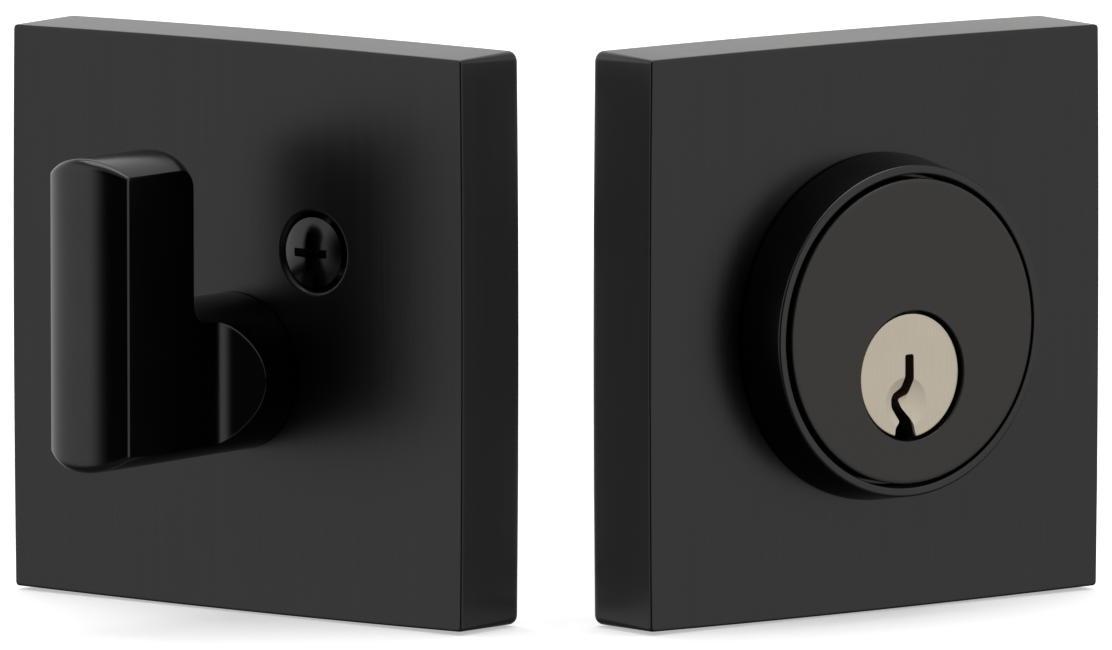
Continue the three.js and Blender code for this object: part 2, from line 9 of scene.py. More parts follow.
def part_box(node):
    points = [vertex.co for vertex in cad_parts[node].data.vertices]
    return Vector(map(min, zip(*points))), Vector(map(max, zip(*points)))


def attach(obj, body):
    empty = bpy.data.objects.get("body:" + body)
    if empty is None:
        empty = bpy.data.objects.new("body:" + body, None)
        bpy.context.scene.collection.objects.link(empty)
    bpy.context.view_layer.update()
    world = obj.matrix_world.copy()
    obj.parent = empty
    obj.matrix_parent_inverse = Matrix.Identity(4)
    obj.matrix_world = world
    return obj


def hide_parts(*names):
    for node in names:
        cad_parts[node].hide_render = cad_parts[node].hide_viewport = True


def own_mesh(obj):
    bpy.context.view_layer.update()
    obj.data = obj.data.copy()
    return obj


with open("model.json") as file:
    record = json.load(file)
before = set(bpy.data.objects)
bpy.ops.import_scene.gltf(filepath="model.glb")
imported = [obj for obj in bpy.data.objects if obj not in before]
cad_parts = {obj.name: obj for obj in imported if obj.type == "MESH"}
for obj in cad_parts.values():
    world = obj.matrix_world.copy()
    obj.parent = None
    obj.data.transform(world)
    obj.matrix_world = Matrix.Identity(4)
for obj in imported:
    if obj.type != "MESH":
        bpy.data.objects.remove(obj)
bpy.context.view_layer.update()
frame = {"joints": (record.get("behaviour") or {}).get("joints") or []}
joints = {joint["name"]: joint for joint in frame["joints"]}
millimetre = 0.001
upward = Vector((0, 0, 1))

# Every piece is drawn in millimetres in the place it belongs to, then carried into the frame.


def placeFrom(origin, across, rise, outward):
    turned = Matrix((across, rise, outward)).transposed().to_4x4()
    return Matrix.Translation(origin) @ turned @ Matrix.Scale(millimetre, 4)


def trimPlace(jointName, roseName):
    outward = Vector(joints[jointName]["axis"])
    low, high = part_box(roseName)
    origin = Vector(joints[jointName]["pos_m"])
    origin.z = (low.z + high.z) / 2
    return placeFrom(origin, upward.cross(outward), upward, outward)


# In a trim's place, x runs to the right, y up, and z out of the front of its rose.
insidePlace = trimPlace("thumbturn_turn", "interior_rose")
outsidePlace = trimPlace("plug_turn", "exterior_rose")
axisDrop = (insidePlace.translation.z - joints["thumbturn_turn"]["pos_m"][2]) / millimetre
trimAngle = math.atan2(joints["plug_turn"]["axis"][0], -joints["plug_turn"]["axis"][1])

# The bolt unit: along its bolt in the flat place, out of its faceplate in the face place.
crankAt = {"x": 4.9, "y": -60.3}
crankPinAt = {"x": -7.8, "y": -73.0}
boltAlong = Vector(joints["bolt_throw"]["axis"]).normalized()
boltRise = -Vector(joints["crank_turn"]["axis"]).normalized()
boltAcross = boltAlong.cross(boltRise)
crankPlace = Vector(joints["crank_turn"]["pos_m"])
boltOrigin = crankPlace - (boltAcross * crankAt["x"] + boltAlong * crankAt["y"]) * millimetre
flatPlace = placeFrom(boltOrigin, boltAcross, boltAlong, boltRise)
facePlace = placeFrom(boltOrigin, -boltAcross, boltRise, boltAlong)

strikeLow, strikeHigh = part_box("strike_plate")
strikeOrigin = Vector(((strikeLow.x + strikeHigh.x) / 2, (strikeLow.y + strikeHigh.y) / 2, 0))
strikePlace = placeFrom(strikeOrigin, Vector((1, 0, 0)), Vector((0, 1, 0)), upward)


# Node trees are written as expressions on wires.


class Wire:
    def __init__(self, recipe, socket):
        self.recipe = recipe
        self.socket = socket

    def math(self, operation, *values):
        inputs = dict(enumerate(values))
        return self.recipe.add("ShaderNodeMath", {"operation": operation}, inputs)

    def __add__(self, other):
        return self.math("ADD", self, other)

    def __radd__(self, other):
        return self.math("ADD", other, self)

    def __sub__(self, other):
        return self.math("SUBTRACT", self, other)

    def __rsub__(self, other):
        return self.math("SUBTRACT", other, self)

    def __mul__(self, other):
        return self.math("MULTIPLY", self, other)

    def __rmul__(self, other):
        return self.math("MULTIPLY", other, self)

    def __truediv__(self, other):
        return self.math("DIVIDE", self, other)


class Recipe:
    def __init__(self, tree):
        self.tree = tree

    def add(self, kind, settings=None, inputs=None, output=0):
        node = self.tree.nodes.new(kind)
        for name, value in (settings or {}).items():
            if name == "stops":
                for element, (position, colour) in zip(node.color_ramp.elements, value):
                    element.position = position
                    element.color = (*colour, 1)
            else:
                setattr(node, name, value)
        for name, value in (inputs or {}).items():
            if isinstance(value, Wire):
                self.tree.links.new(value.socket, node.inputs[name])
            else:
                node.inputs[name].default_value = value
        return Wire(self, node.outputs[output]) if len(node.outputs) else node

    def mixed(self, factor, first, second):
        first, second = [value if isinstance(value, Wire) else (*value, 1) for value in (first, second)]
        return self.add("ShaderNodeMix", {"data_type": "RGBA"}, {0: factor, 6: first, 7: second}, 2)

    def stretched(self, vector, amounts):
        return self.add("ShaderNodeVectorMath", {"operation": "MULTIPLY"}, {0: vector, 1: amounts})

    def noise(self, vector, scale, detail=3, roughness=0.55):
        inputs = {"Vector": vector, "Scale": scale, "Detail": detail, "Roughness": roughness}
        return self.add("ShaderNodeTexNoise", {}, inputs, "Fac")

    def smooth(self, value, low, high):
        settings = {"interpolation_type": "SMOOTHSTEP"}
        inputs = {"Value": value, "From Min": low, "From Max": high}
        return self.add("ShaderNodeMapRange", settings, inputs)


def newMaterial(name, describe):
    material = bpy.data.materials.new(name)
    material.use_nodes = True
    material.node_tree.nodes.clear()
    recipe = Recipe(material.node_tree)
    shader = recipe.add("ShaderNodeBsdfPrincipled", {}, describe(recipe))
    recipe.add("ShaderNodeOutputMaterial", {}, {"Surface": shader})
    return material


# A point of the piece in a frame turned about the upright, so that a grain can follow a trim.
def turnedPoint(recipe, angle):
    point = recipe.add("ShaderNodeTexCoord", {}, {}, "Object")
    return recipe.add("ShaderNodeMapping", {}, {"Vector": point, "Rotation": (0, 0, -angle)})


def bumped(recipe, height, strength, distance):
    return recipe.add("ShaderNodeBump", {}, {"Height": height, "Strength": strength, "Distance": distance})


# Satin black over a brushed plate: the grain runs upright and is finer than it is deep.
def brushedBlack(name, angle):
    look = {
        "deep": (0.045, 0.0438, 0.0444),
        "pale": (0.063, 0.0612, 0.0618),
        "grain": (5200, 5200, 60),
        "streaks": (900, 900, 14),
        "roughness": 0.285,
        "spread": 0.08,
    }

    def describe(recipe):
        point = turnedPoint(recipe, angle)
        grain = recipe.noise(recipe.stretched(point, look["grain"]), 1, 4)
        streaks = recipe.noise(recipe.stretched(point, look["streaks"]), 1, 3)
        clouds = recipe.noise(point, 45, 2)
        height = grain * 0.7 + streaks * 0.5
        return {
            "Base Color": recipe.mixed(grain * 0.6 + streaks * 0.4, look["deep"], look["pale"]),
            "Roughness": look["roughness"] + look["spread"] * (streaks * 0.6 + clouds * 0.4 - 0.25),
            "Metallic": 1.0,
            "Normal": bumped(recipe, height, 0.32, 0.00003),
        }

    return newMaterial(name, describe)


# Smooth black with a faint orange peel from the spray.
def satinBlack(name, angle, roughness=0.27):
    look = {"deep": (0.046, 0.045, 0.045), "pale": (0.06, 0.0585, 0.058), "peel": 1500, "patches": 90}

    def describe(recipe):
        point = turnedPoint(recipe, angle)
        peel = recipe.noise(point, look["peel"], 2)
        patches = recipe.noise(point, look["patches"], 3)
        return {
            "Base Color": recipe.mixed(patches, look["deep"], look["pale"]),
            "Roughness": roughness + (patches - 0.5) * 0.09,
            "Metallic": 1.0,
            "Normal": bumped(recipe, peel, 0.12, 0.00002),
        }

    return newMaterial(name, describe)


# Turned black metal: its rings are too fine to see, so a plain fine grain stands for them.
def blackFace(name, angle):
    look = {"deep": (0.065, 0.061, 0.058), "pale": (0.082, 0.077, 0.073), "grain": (2600, 2600, 2600)}

    def describe(recipe):
        point = turnedPoint(recipe, angle)
        grain = recipe.noise(recipe.stretched(point, look["grain"]), 1, 3)
        clouds = recipe.noise(point, 70, 3)
        return {
            "Base Color": recipe.mixed(grain * 0.5 + clouds * 0.5, look["deep"], look["pale"]),
            "Roughness": 0.4 + (clouds - 0.5) * 0.08,
            "Metallic": 1.0,
            "Normal": bumped(recipe, grain, 0.14, 0.00002),
        }

    return newMaterial(name, describe)


# Brushed nickel: an upright grain in the metal, warm, with a soft sheen.
def brushedNickel(name, angle, grain, roughness=0.34):
    look = {"deep": (0.55, 0.49, 0.39), "pale": (0.82, 0.745, 0.61)}

    def describe(recipe):
        point = turnedPoint(recipe, angle)
        lines = recipe.noise(recipe.stretched(point, grain), 1, 4, 0.65)
        clouds = recipe.noise(point, 130, 2)
        return {
            "Base Color": recipe.mixed(lines * 0.75 + clouds * 0.25, look["deep"], look["pale"]),
            "Roughness": roughness + (lines - 0.5) * 0.16,
            "Metallic": 1.0,
            "Normal": bumped(recipe, lines, 0.3, 0.00003),
        }

    return newMaterial(name, describe)


# Zinc plate with a clear passivate: grey with a straw and blue cast that drifts over the sheet.
def zincPlate(name):
    look = {"grey": (0.47, 0.47, 0.46), "straw": (0.55, 0.5, 0.36), "blue": (0.42, 0.46, 0.52)}

    def describe(recipe):
        point = recipe.add("ShaderNodeTexCoord", {}, {}, "Object")
        drift = recipe.smooth(recipe.noise(point, 55, 3), 0.35, 0.65)
        cool = recipe.smooth(recipe.noise(point, 85, 2), 0.5, 0.75)
        spangle = recipe.noise(point, 900, 3)
        warm = recipe.mixed(drift, look["grey"], look["straw"])
        return {
            "Base Color": recipe.mixed(cool * 0.7, warm, look["blue"]),
            "Roughness": 0.33 + 0.16 * spangle,
            "Metallic": 1.0,
            "Normal": bumped(recipe, spangle, 0.18, 0.00003),
        }

    return newMaterial(name, describe)


# Die-cast zinc: dull, with the grain of the die.
def castMetal(name):
    look = {"deep": (0.3, 0.3, 0.31), "pale": (0.46, 0.46, 0.47)}

    def describe(recipe):
        point = recipe.add("ShaderNodeTexCoord", {}, {}, "Object")
        grain = recipe.noise(point, 1800, 4, 0.7)
        flow = recipe.noise(point, 160, 3)
        return {
            "Base Color": recipe.mixed(grain * 0.5 + flow * 0.5, look["deep"], look["pale"]),
            "Roughness": 0.46 + 0.16 * (flow - 0.5),
            "Metallic": 1.0,
            "Normal": bumped(recipe, grain, 0.3, 0.00005),
        }

    return newMaterial(name, describe)


# Bare metal with drawn lines: steel, spring wire and brass differ only in their colours and shine.
def drawnMetal(name, deep, pale, roughness):
    def describe(recipe):
        point = recipe.add("ShaderNodeTexCoord", {}, {}, "Object")
        lines = recipe.noise(recipe.stretched(point, (600, 600, 4200)), 1, 3)
        stain = recipe.smooth(recipe.noise(point, 240, 3), 0.45, 0.8)
        return {
            "Base Color": recipe.mixed(stain * 0.6 + lines * 0.3, pale, deep),
            "Roughness": roughness + 0.14 * lines,
            "Metallic": 1.0,
            "Normal": bumped(recipe, lines, 0.2, 0.00002),
        }

    return newMaterial(name, describe)


finishes = {
    "insidePlate": brushedBlack("brushed_black_inside", -trimAngle),
    "outsidePlate": brushedBlack("brushed_black_outside", trimAngle),
    "lever": satinBlack("satin_black_lever", -trimAngle, 0.2),
    "collar": satinBlack("satin_black_collar", trimAngle, 0.23),
    "screw": satinBlack("gloss_black_screw", -trimAngle, 0.16),
    "face": blackFace("black_cylinder_face", trimAngle),
    "plug": brushedNickel("brushed_nickel_plug", trimAngle, (5200, 5200, 190)),
    "boltNickel": brushedNickel("brushed_nickel_bolt", 0, (90, 4200, 4200)),
    "barNickel": brushedNickel("brushed_nickel_bar", 0, (4200, 90, 4200)),
    "strikeNickel": brushedNickel("brushed_nickel_strike", 0, (90, 4200, 4200)),
    "screwNickel": brushedNickel("turned_nickel_screw", 0, (2200, 2200, 2200), 0.26),
    "zinc": zincPlate("zinc_plated_steel"),
    "cast": castMetal("cast_zinc"),
    "steel": drawnMetal("plain_steel", (0.24, 0.23, 0.22), (0.5, 0.49, 0.47), 0.3),
    "spring": drawnMetal("spring_steel", (0.2, 0.2, 0.21), (0.42, 0.42, 0.43), 0.22),
    "brass": drawnMetal("pin_brass", (0.42, 0.27, 0.1), (0.72, 0.53, 0.24), 0.24),
}
print("materials are ready")


# Outlines are lists of flat points that run anticlockwise; a loop is an outline at a height.


def arc(centre, radius, start, end, steps):
    angles = [math.radians(start + (end - start) * i / steps) for i in range(steps + 1)]
    return [Vector((centre[0] + radius * math.cos(a), centre[1] + radius * math.sin(a))) for a in angles]


def circle(radius, count=96, x=0.0, y=0.0):
    return arc((x, y), radius, 0, 360, count)[:-1]


def roundedOutline(wide, high, radius, bow=0.0, cornerSteps=8, sideSteps=10):
    halfWide, halfHigh = wide / 2, high / 2
    points = []
    for quarter, (sideX, sideY) in enumerate(((1, 1), (-1, 1), (-1, -1), (1, -1))):
        centre = (sideX * (halfWide - radius), sideY * (halfHigh - radius))
        corner = arc(centre, radius, 90 * quarter, 90 * quarter + 90, cornerSteps)
        points += corner
        out = Vector(((0, -1, 0, 1)[quarter], (1, 0, -1, 0)[quarter]))
        straight = 2 * ((halfWide if quarter % 2 == 0 else halfHigh) - radius)
        along = Vector((-out.y, out.x))
        for step in range(1, sideSteps):
            share = step / sideSteps
            points.append(corner[-1] + along * straight * share + out * bow * 4 * share * (1 - share))
    return points


def inset(outline, distance):
    moved = []
    for i, point in enumerate(outline):
        before = (point - outline[i - 1]).normalized()
        after = (outline[(i + 1) % len(outline)] - point).normalized()
        inwards = Vector((-before.y - after.y, before.x + after.x)).normalized()
        stretch = 1 / max(inwards.dot(Vector((-after.y, after.x))), 0.5)
        moved.append(point + inwards * distance * stretch)
    return moved


def loopAt(outline, height):
    return [Vector((point.x, point.y, height)) for point in outline]


# [inset, height] steps up a wall that has rounded edges, with a flat margin beside each rounding.
def edgeSteps(low, high, lowEdge, highEdge, steps=4):
    turns = [math.radians(90 * i / steps) for i in range(steps + 1)]
    under = [(lowEdge * (1 - math.sin(a)), low + lowEdge * (1 - math.cos(a))) for a in turns]
    over = [(highEdge * (1 - math.cos(a)), high - highEdge * (1 - math.sin(a))) for a in turns]
    return [(lowEdge * 1.6, low), *under, *over, (highEdge * 1.6, high)]


def wall(outline, low, high, edge, outer=True, highEdge=None):
    side = 1 if outer else -1
    steps = edgeSteps(low, high, edge, edge if highEdge is None else highEdge)
    return [loopAt(inset(outline, side * amount), height) for amount, height in steps]


# A face between its corners, some of which may be the same one.
def newFace(mesh, *corners):
    apart = [corner for k, corner in enumerate(corners) if corner not in corners[:k]]
    if len(apart) > 2:
        mesh.faces.new(apart)


def bridge(mesh, first, second):
    count = len(first)
    for i in range(count):
        onward = (i + 1) % count
        newFace(mesh, first[i], first[onward], second[onward], second[i])


def settled(mesh):
    bmesh.ops.remove_doubles(mesh, verts=mesh.verts[:], dist=1e-5)
    bmesh.ops.dissolve_degenerate(mesh, edges=mesh.edges[:], dist=1e-6)
    bmesh.ops.recalc_face_normals(mesh, faces=mesh.faces[:])
    return mesh


# A closed body from the loops of its outside and of each hole, all from the lower cap to the upper one.
def cappedBody(outside, *holes):
    mesh = bmesh.new()
    stacks = []
    for loops in (outside, *holes):
        rings = [[mesh.verts.new(point) for point in loop] for loop in loops]
        for lower, higher in zip(rings, rings[1:]):
            bridge(mesh, lower, higher)
        stacks.append(rings)
    for end in (0, -1):
        rims = [rings[end] for rings in stacks]
        corners = [corner for rim in rims for corner in rim]
        for triangle in tessellate_polygon([[corner.co for corner in rim] for rim in rims]):
            mesh.faces.new([corners[i] for i in triangle])
    return settled(mesh)


def slab(outline, low, high, edge=0.2, holes=()):
    holeWalls = [wall(hole, low, high, edge * 0.6, False) for hole in holes]
    return cappedBody(wall(outline, low, high, edge), *holeWalls)


# Rounds every corner of a line of points with a small arc, and leaves a flat margin on both sides of it.
def softened(points, radius, closed=False, steps=4):
    result = []
    count = len(points)
    for i, point in enumerate(points):
        here = Vector(point)
        if not closed and i in (0, count - 1):
            result.append(here)
            continue
        before, after = Vector(points[i - 1]), Vector(points[(i + 1) % count])
        back, onward = (before - here), (after - here)
        reach = min(radius, back.length * 0.3, onward.length * 0.3)
        back.normalize()
        onward.normalize()
        start, end = here + back * reach, here + onward * reach
        result.append(here + back * reach * 1.5)
        for step in range(steps + 1):
            share = step / steps
            result.append(start * (1 - share) ** 2 + here * 2 * share * (1 - share) + end * share ** 2)
        result.append(here + onward * reach * 1.5)
    return result


# A body turned about the z axis from [radius, z] points.
def turnedBody(profile, edge=0.15, closed=False, count=96, x=0.0, y=0.0):
    points = softened(profile, edge, closed) if edge else [Vector(point) for point in profile]
    mesh = bmesh.new()
    rings = []
    for radius, height in points:
        if radius < 1e-6:
            rings.append([mesh.verts.new((x, y, height))])
        else:
            rings.append([mesh.verts.new(point) for point in loopAt(circle(radius, count, x, y), height)])
    pairs = list(zip(rings, rings[1:])) + ([(rings[-1], rings[0])] if closed else [])
    for first, second in pairs:
        if len(first) == 1 and len(second) == 1:
            continue
        if len(first) == 1 or len(second) == 1:
            pole, ring = (first[0], second) if len(first) == 1 else (second[0], first)
            for i in range(count):
                mesh.faces.new((pole, ring[i], ring[(i + 1) % count]))
        else:
            bridge(mesh, first, second)
    return settled(mesh)


def boxBody(xRange, yRange, zRange, edge=0.2, corner=0.25):
    middle = Vector(((xRange[0] + xRange[1]) / 2, (yRange[0] + yRange[1]) / 2))
    outline = roundedOutline(xRange[1] - xRange[0], yRange[1] - yRange[0], corner, cornerSteps=4, sideSteps=2)
    return slab([point + middle for point in outline], *zRange, edge)


# Turns a body so that its z axis lies along x or y.
def laid(mesh, axis):
    turns = {"x": Matrix.Rotation(math.pi / 2, 4, "Y"), "y": Matrix.Rotation(-math.pi / 2, 4, "X")}
    bmesh.ops.transform(mesh, matrix=turns[axis], verts=mesh.verts[:])
    return mesh


# Turns a body so that its x, y and z axes point along these directions.
def pointed(mesh, x, y, z):
    turn = Matrix((x, y, z)).transposed().to_4x4()
    bmesh.ops.transform(mesh, matrix=turn, verts=mesh.verts[:])
    return mesh


def moved(mesh, x=0.0, y=0.0, z=0.0):
    bmesh.ops.translate(mesh, vec=(x, y, z), verts=mesh.verts[:])
    return mesh


def temporary(mesh):
    data = bpy.data.meshes.new("working")
    mesh.to_mesh(data)
    mesh.free()
    shape = bpy.data.objects.new("working", data)
    bpy.context.scene.collection.objects.link(shape)
    return shape


def combined(operation, base, *others):
    target = temporary(base)
    tools = [temporary(other) for other in others]
    for tool in tools:
        modifier = target.modifiers.new("combine", "BOOLEAN")
        modifier.operation = operation
        modifier.solver = "EXACT"
        modifier.object = tool
    evaluated = target.evaluated_get(bpy.context.evaluated_depsgraph_get())
    result = bmesh.new()
    result.from_mesh(evaluated.to_mesh())
    evaluated.to_mesh_clear()
    for shape in (target, *tools):
        data = shape.data
        bpy.data.objects.remove(shape)
        bpy.data.meshes.remove(data)
    return settled(result)


def cutAway(base, *cutters):
    return combined("DIFFERENCE", base, *cutters)


def joinOn(base, *others):
    return combined("UNION", base, *others)


# Puts a body into the frame as a finished piece that stands for its CAD node. Flat sides are its faces
# square to x, which are shaded flat so that the roundings beside them don't bend their reflections.
def finished(name, mesh, place, material, body, smoothAngle=28, flatSides=False):
    shading = [not (flatSides and abs(face.normal.x) > 0.9999) for face in mesh.faces]
    bmesh.ops.transform(mesh, matrix=place, verts=mesh.verts[:])
    data = bpy.data.meshes.new(name)
    mesh.to_mesh(data)
    mesh.free()
    data.materials.append(material)
    data.set_sharp_from_angle(angle=math.radians(smoothAngle))
    data.polygons.foreach_set("use_smooth", shading)
    piece = bpy.data.objects.new(name + "_piece", data)
    bpy.context.scene.collection.objects.link(piece)
    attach(piece, body)
    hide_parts(name)
    return piece


# The camera stands where it sees both trims in their V, a little from above.
view = {"away": 2.06546, "height": 0.28378, "down": 6.91, "lens": 580.5, "sensor": 36}
cameraData = bpy.data.cameras.new("camera")
cameraData.lens = view["lens"]
cameraData.sensor_width = view["sensor"]
cameraData.clip_end = 20
camera = bpy.data.objects.new("camera", cameraData)
camera.location = (0, insidePlace.translation.y - view["away"], view["height"])
camera.rotation_euler = (math.radians(90 - view["down"]), 0, 0)
bpy.context.scene.collection.objects.link(camera)
bpy.context.scene.camera = camera
bpy.context.scene.view_settings.view_transform = "Standard"


# The roses: square shells, drawn in a little towards the front, with slightly bowed sides.
roseSizes = {
    "side": 66.7,
    "frontSide": 66.2,
    "thick": 10.75,
    "wall": 2.5,
    "rim": 2.6,
    "bow": 0.22,
    "frontEdge": 0.22,
    "backEdge": 0.7,
    "corner": 0.75,
    "frontCorner": 0.45,
    "innerCorner": 2,
    "bossHole": 6.8,
    "neckHole": 15.8,
}


def roseBody(*holes):
    s = roseSizes
    inner = s["side"] - 2 * s["rim"]
    back, ceiling = -s["thick"], -s["wall"]
    levels = [
        (inner - 0.8, s["innerCorner"], 0, ceiling),
        (inner, s["innerCorner"], 0, ceiling),
        (inner, s["innerCorner"], 0, ceiling - 0.4),
        (inner, s["innerCorner"], 0, back + 0.4),
        (inner + 0.3, s["innerCorner"], 0, back),
        (inner + 0.9, s["innerCorner"], 0, back),
    ]
    for turn in (90, 67.5, 45, 22.5, 0):
        away = s["backEdge"] * (1 - math.cos(math.radians(turn)))
        height = back + s["backEdge"] * (1 - math.sin(math.radians(turn)))
        levels.append((s["side"] - 2 * away, s["corner"] + 0.4, s["bow"], height))
    levels.insert(6, (s["side"] - 3 * s["backEdge"], s["corner"] + 0.4, s["bow"], back))
    levels.append((s["side"] - 0.03, s["corner"] + 0.3, s["bow"], back + 1.1))
    levels.append((s["frontSide"] + 0.03, s["frontCorner"], s["bow"], -0.6))
    for turn in (0, 22.5, 45, 67.5, 90):
        away = s["frontEdge"] * (1 - math.cos(math.radians(turn)))
        height = -s["frontEdge"] * (1 - math.sin(math.radians(turn)))
        levels.append((s["frontSide"] - 2 * away, s["frontCorner"], s["bow"], height))
    levels.append((s["frontSide"] - 3.5 * s["frontEdge"], s["frontCorner"], s["bow"], 0))
    outside = [
        loopAt(roundedOutline(side, side, corner, bow), height)
        for side, corner, bow, height in levels
    ]
    return cappedBody(outside, *holes)


def roundHole(steps, x=0.0, y=0.0, count=96):
    return [loopAt(circle(radius, count, x, y), height) for radius, height in steps]


screwSizes = {
    "side": 11.6,
    "rise": 9.4,
    "head": 4.1,
    "shank": 2.08,
    "seat": 4.9,
    "length": 35.4,
    "threadAt": 2.6,
    "dome": 0.95,
    "pitch": 0.79,
    "thread": 0.32,
}
screwPlaces = {"left": -screwSizes["side"], "right": screwSizes["side"]}


def interiorRose():
    s = screwSizes
    seatSteps = [
        (s["shank"] + 0.5, -roseSizes["wall"]),
        (s["shank"] + 0.5, -2.35),
        (s["seat"] - 0.25, -0.28),
        (s["seat"] - 0.12, -0.12),
        (s["seat"], -0.04),
        (s["seat"] + 0.1, 0),
        (s["seat"] + 0.3, 0),
    ]
    seats = [roundHole(seatSteps, x, s["rise"]) for x in screwPlaces.values()]
    bossHole = roseSizes["bossHole"]
    boss = roundHole([(bossHole, -roseSizes["wall"]), (bossHole, -0.1), (bossHole + 0.1, 0)], 0, -axisDrop)
    mesh = roseBody(boss, *seats)
    return finished("interior_rose", mesh, insidePlace, finishes["insidePlate"], "lock_body")


def exteriorRose():
    neckHole = roseSizes["neckHole"]
    mesh = roseBody(roundHole([(neckHole, -roseSizes["wall"]), (neckHole, -0.1), (neckHole + 0.1, 0)]))
    return finished("exterior_rose", mesh, outsidePlace, finishes["outsidePlate"], "lock_body")


# The thumbturn. Slices across it are drawn as lines from its underside over the top and back down.
leverSizes = {
    "round": 9.2,
    "shoulder": 5.83,
    "slope": 1.18,
    "half": 5.75,
    "fillet": 4.2,
    "front": 28.9,
    "gripBack": 12.8,
    "top": 22.0,
    "frontCorner": 1.1,
    "backCorner": 3.0,
    "hollow": 0.25,
    "lift": 0.3,
    "rim": 0.26,
    "bevelWide": 0.1,
    "bevelDeep": 0.18,
    "boss": 6.5,
    "bossBack": -5.6,
}


def filletFoot():
    s = leverSizes
    bend = math.pi / 2 - math.atan(s["slope"])
    facetTop = s["shoulder"] + s["slope"] * (s["round"] - s["half"])
    return facetTop + s["fillet"] * math.tan(bend / 2), bend


def roofHeight(x):
    s = leverSizes
    foot, bend = filletFoot()
    if x < s["half"] + s["fillet"] * (1 - math.cos(bend)):
        away = s["half"] + s["fillet"] - x
        return foot - math.sqrt(max(s["fillet"] ** 2 - away ** 2, 0))
    return s["shoulder"] + s["slope"] * (s["round"] - x)


def bladeLine(x, extra=0.0):
    s = leverSizes
    crown = s["round"] - math.sqrt(s["round"] ** 2 - x ** 2)
    heel, footTop = -axisDrop - s["round"] + crown, -axisDrop + s["round"] - crown
    front, top, back = s["front"] - crown, s["top"] - crown, s["gripBack"] + crown
    convex = max(s["frontCorner"] - crown * 0.35, 0.3)
    soft = max(s["backCorner"] - crown * 0.35, 0.3)
    hollow = s["hollow"] + crown
    foot = filletFoot()[0]
    margin = 0.4
    line = [(foot, heel), (front - convex - margin, heel + extra)]
    line += arc((front - convex, heel + convex), convex - extra, -90, 0, 8)
    line += [(front - extra, heel + convex + margin), (front - extra, top - convex - margin)]
    line += arc((front - convex, top - convex), convex - extra, 0, 90, 8)
    line += [(front - convex - margin, top - extra), (back + soft + margin, top - extra)]
    line += arc((back + soft, top - soft), soft - extra, 90, 180, 8)
    line += [(back + extra, top - soft - margin), (back + extra, footTop + hollow + margin)]
    line += arc((back - hollow, footTop + hollow), hollow + extra, 0, -90, 8)
    line += [(foot, footTop)]
    return [(s["lift"], heel), *[tuple(point) for point in line], (s["lift"], footTop)]


def hubLine(x):
    s = leverSizes
    half = math.sqrt(max(s["round"] ** 2 - x ** 2, 0))
    roof = roofHeight(x)
    rim = min(s["rim"] * min((x - s["half"]) / 0.6, 1), 0.5 * half)
    margin = min(1.5 * rim, 0.7 * half)
    turns = [math.radians(90 * i / 4) for i in range(5)]
    corner = [(roof - rim * (1 - math.sin(a)), half - rim * (1 - math.cos(a))) for a in turns]
    side = [(s["lift"], half), (roof - rim - 0.3, half), *corner]
    across = [(roof, (half - margin) * share) for share in (1, 0.75, 0.5, 0.25)]
    flat = [*side, *across]
    line = [(w, -v) for w, v in flat] + [(roof, 0)] + flat[::-1]
    return [(w, v - axisDrop) for w, v in line]


def thumbturnBody():
    s = leverSizes
    mesh = bmesh.new()
    edgeTurn = math.asin((s["half"] - s["bevelWide"]) / s["round"])
    bladeSteps = 30
    stations = [s["round"] * math.sin(edgeTurn * (2 * i / bladeSteps - 1)) for i in range(bladeSteps + 1)]
    lines = [[mesh.verts.new((x, v, w)) for w, v in bladeLine(x)] for x in stations]
    for side in (-1, 1):
        rim = [mesh.verts.new((side * s["half"], v, w)) for w, v in bladeLine(s["half"], s["bevelDeep"])]
        lines.insert(0 if side < 0 else len(lines), rim)
    bend = filletFoot()[1]
    filletEnd = s["half"] + s["fillet"] * (1 - math.cos(bend))
    endTurn = math.asin(filletEnd / s["round"])
    outer = [s["half"] + s["fillet"] * (1 - math.cos(bend * i / 8)) for i in range(9)]
    outer += [s["round"] * math.sin(endTurn + (math.pi / 2 - endTurn) * i / 18) for i in range(1, 19)]

    def strip(first, second):
        for i in range(len(first) - 1):
            newFace(mesh, first[i], first[i + 1], second[i + 1], second[i])

    for first, second in zip(lines, lines[1:]):
        strip(first, second)
    for side in (-1, 1):
        hub = [[mesh.verts.new((side * x, v, w)) for w, v in hubLine(x)] for x in outer]
        for first, second in zip(hub, hub[1:]):
            strip(first, second)
        rim = lines[-1] if side > 0 else lines[0]
        flank = rim[1:-1] + hub[0][1:-1][::-1]
        for triangle in tessellate_polygon([[Vector((corner.co.z, corner.co.y, 0)) for corner in flank]]):
            mesh.faces.new([flank[i] for i in triangle])
    bmesh.ops.remove_doubles(mesh, verts=mesh.verts[:], dist=1e-4)
    bmesh.ops.dissolve_degenerate(mesh, edges=mesh.edges[:], dist=1e-5)
    openEdges = [edge for edge in mesh.edges if edge.is_boundary]
    bmesh.ops.holes_fill(mesh, edges=openEdges, sides=0)
    return settled(mesh)


def thumbturn():
    s = leverSizes
    bossSteps = [
        (0, 0.8),
        (s["boss"], 0.8),
        (s["boss"], -3.7),
        (s["boss"] - 1.1, -3.7),
        (s["boss"] - 1.1, -4.9),
        (s["boss"], -4.9),
        (s["boss"], s["bossBack"]),
        (2.8, s["bossBack"]),
        (2.8, -1.5),
        (0, -1.5),
    ]
    mesh = joinOn(thumbturnBody(), turnedBody(bossSteps, 0.12, y=-axisDrop))
    return finished("thumbturn", mesh, insidePlace, finishes["lever"], "thumbturn", 24, True)


interiorRose()
exteriorRose()
thumbturn()
print("roses and thumbturn are built")


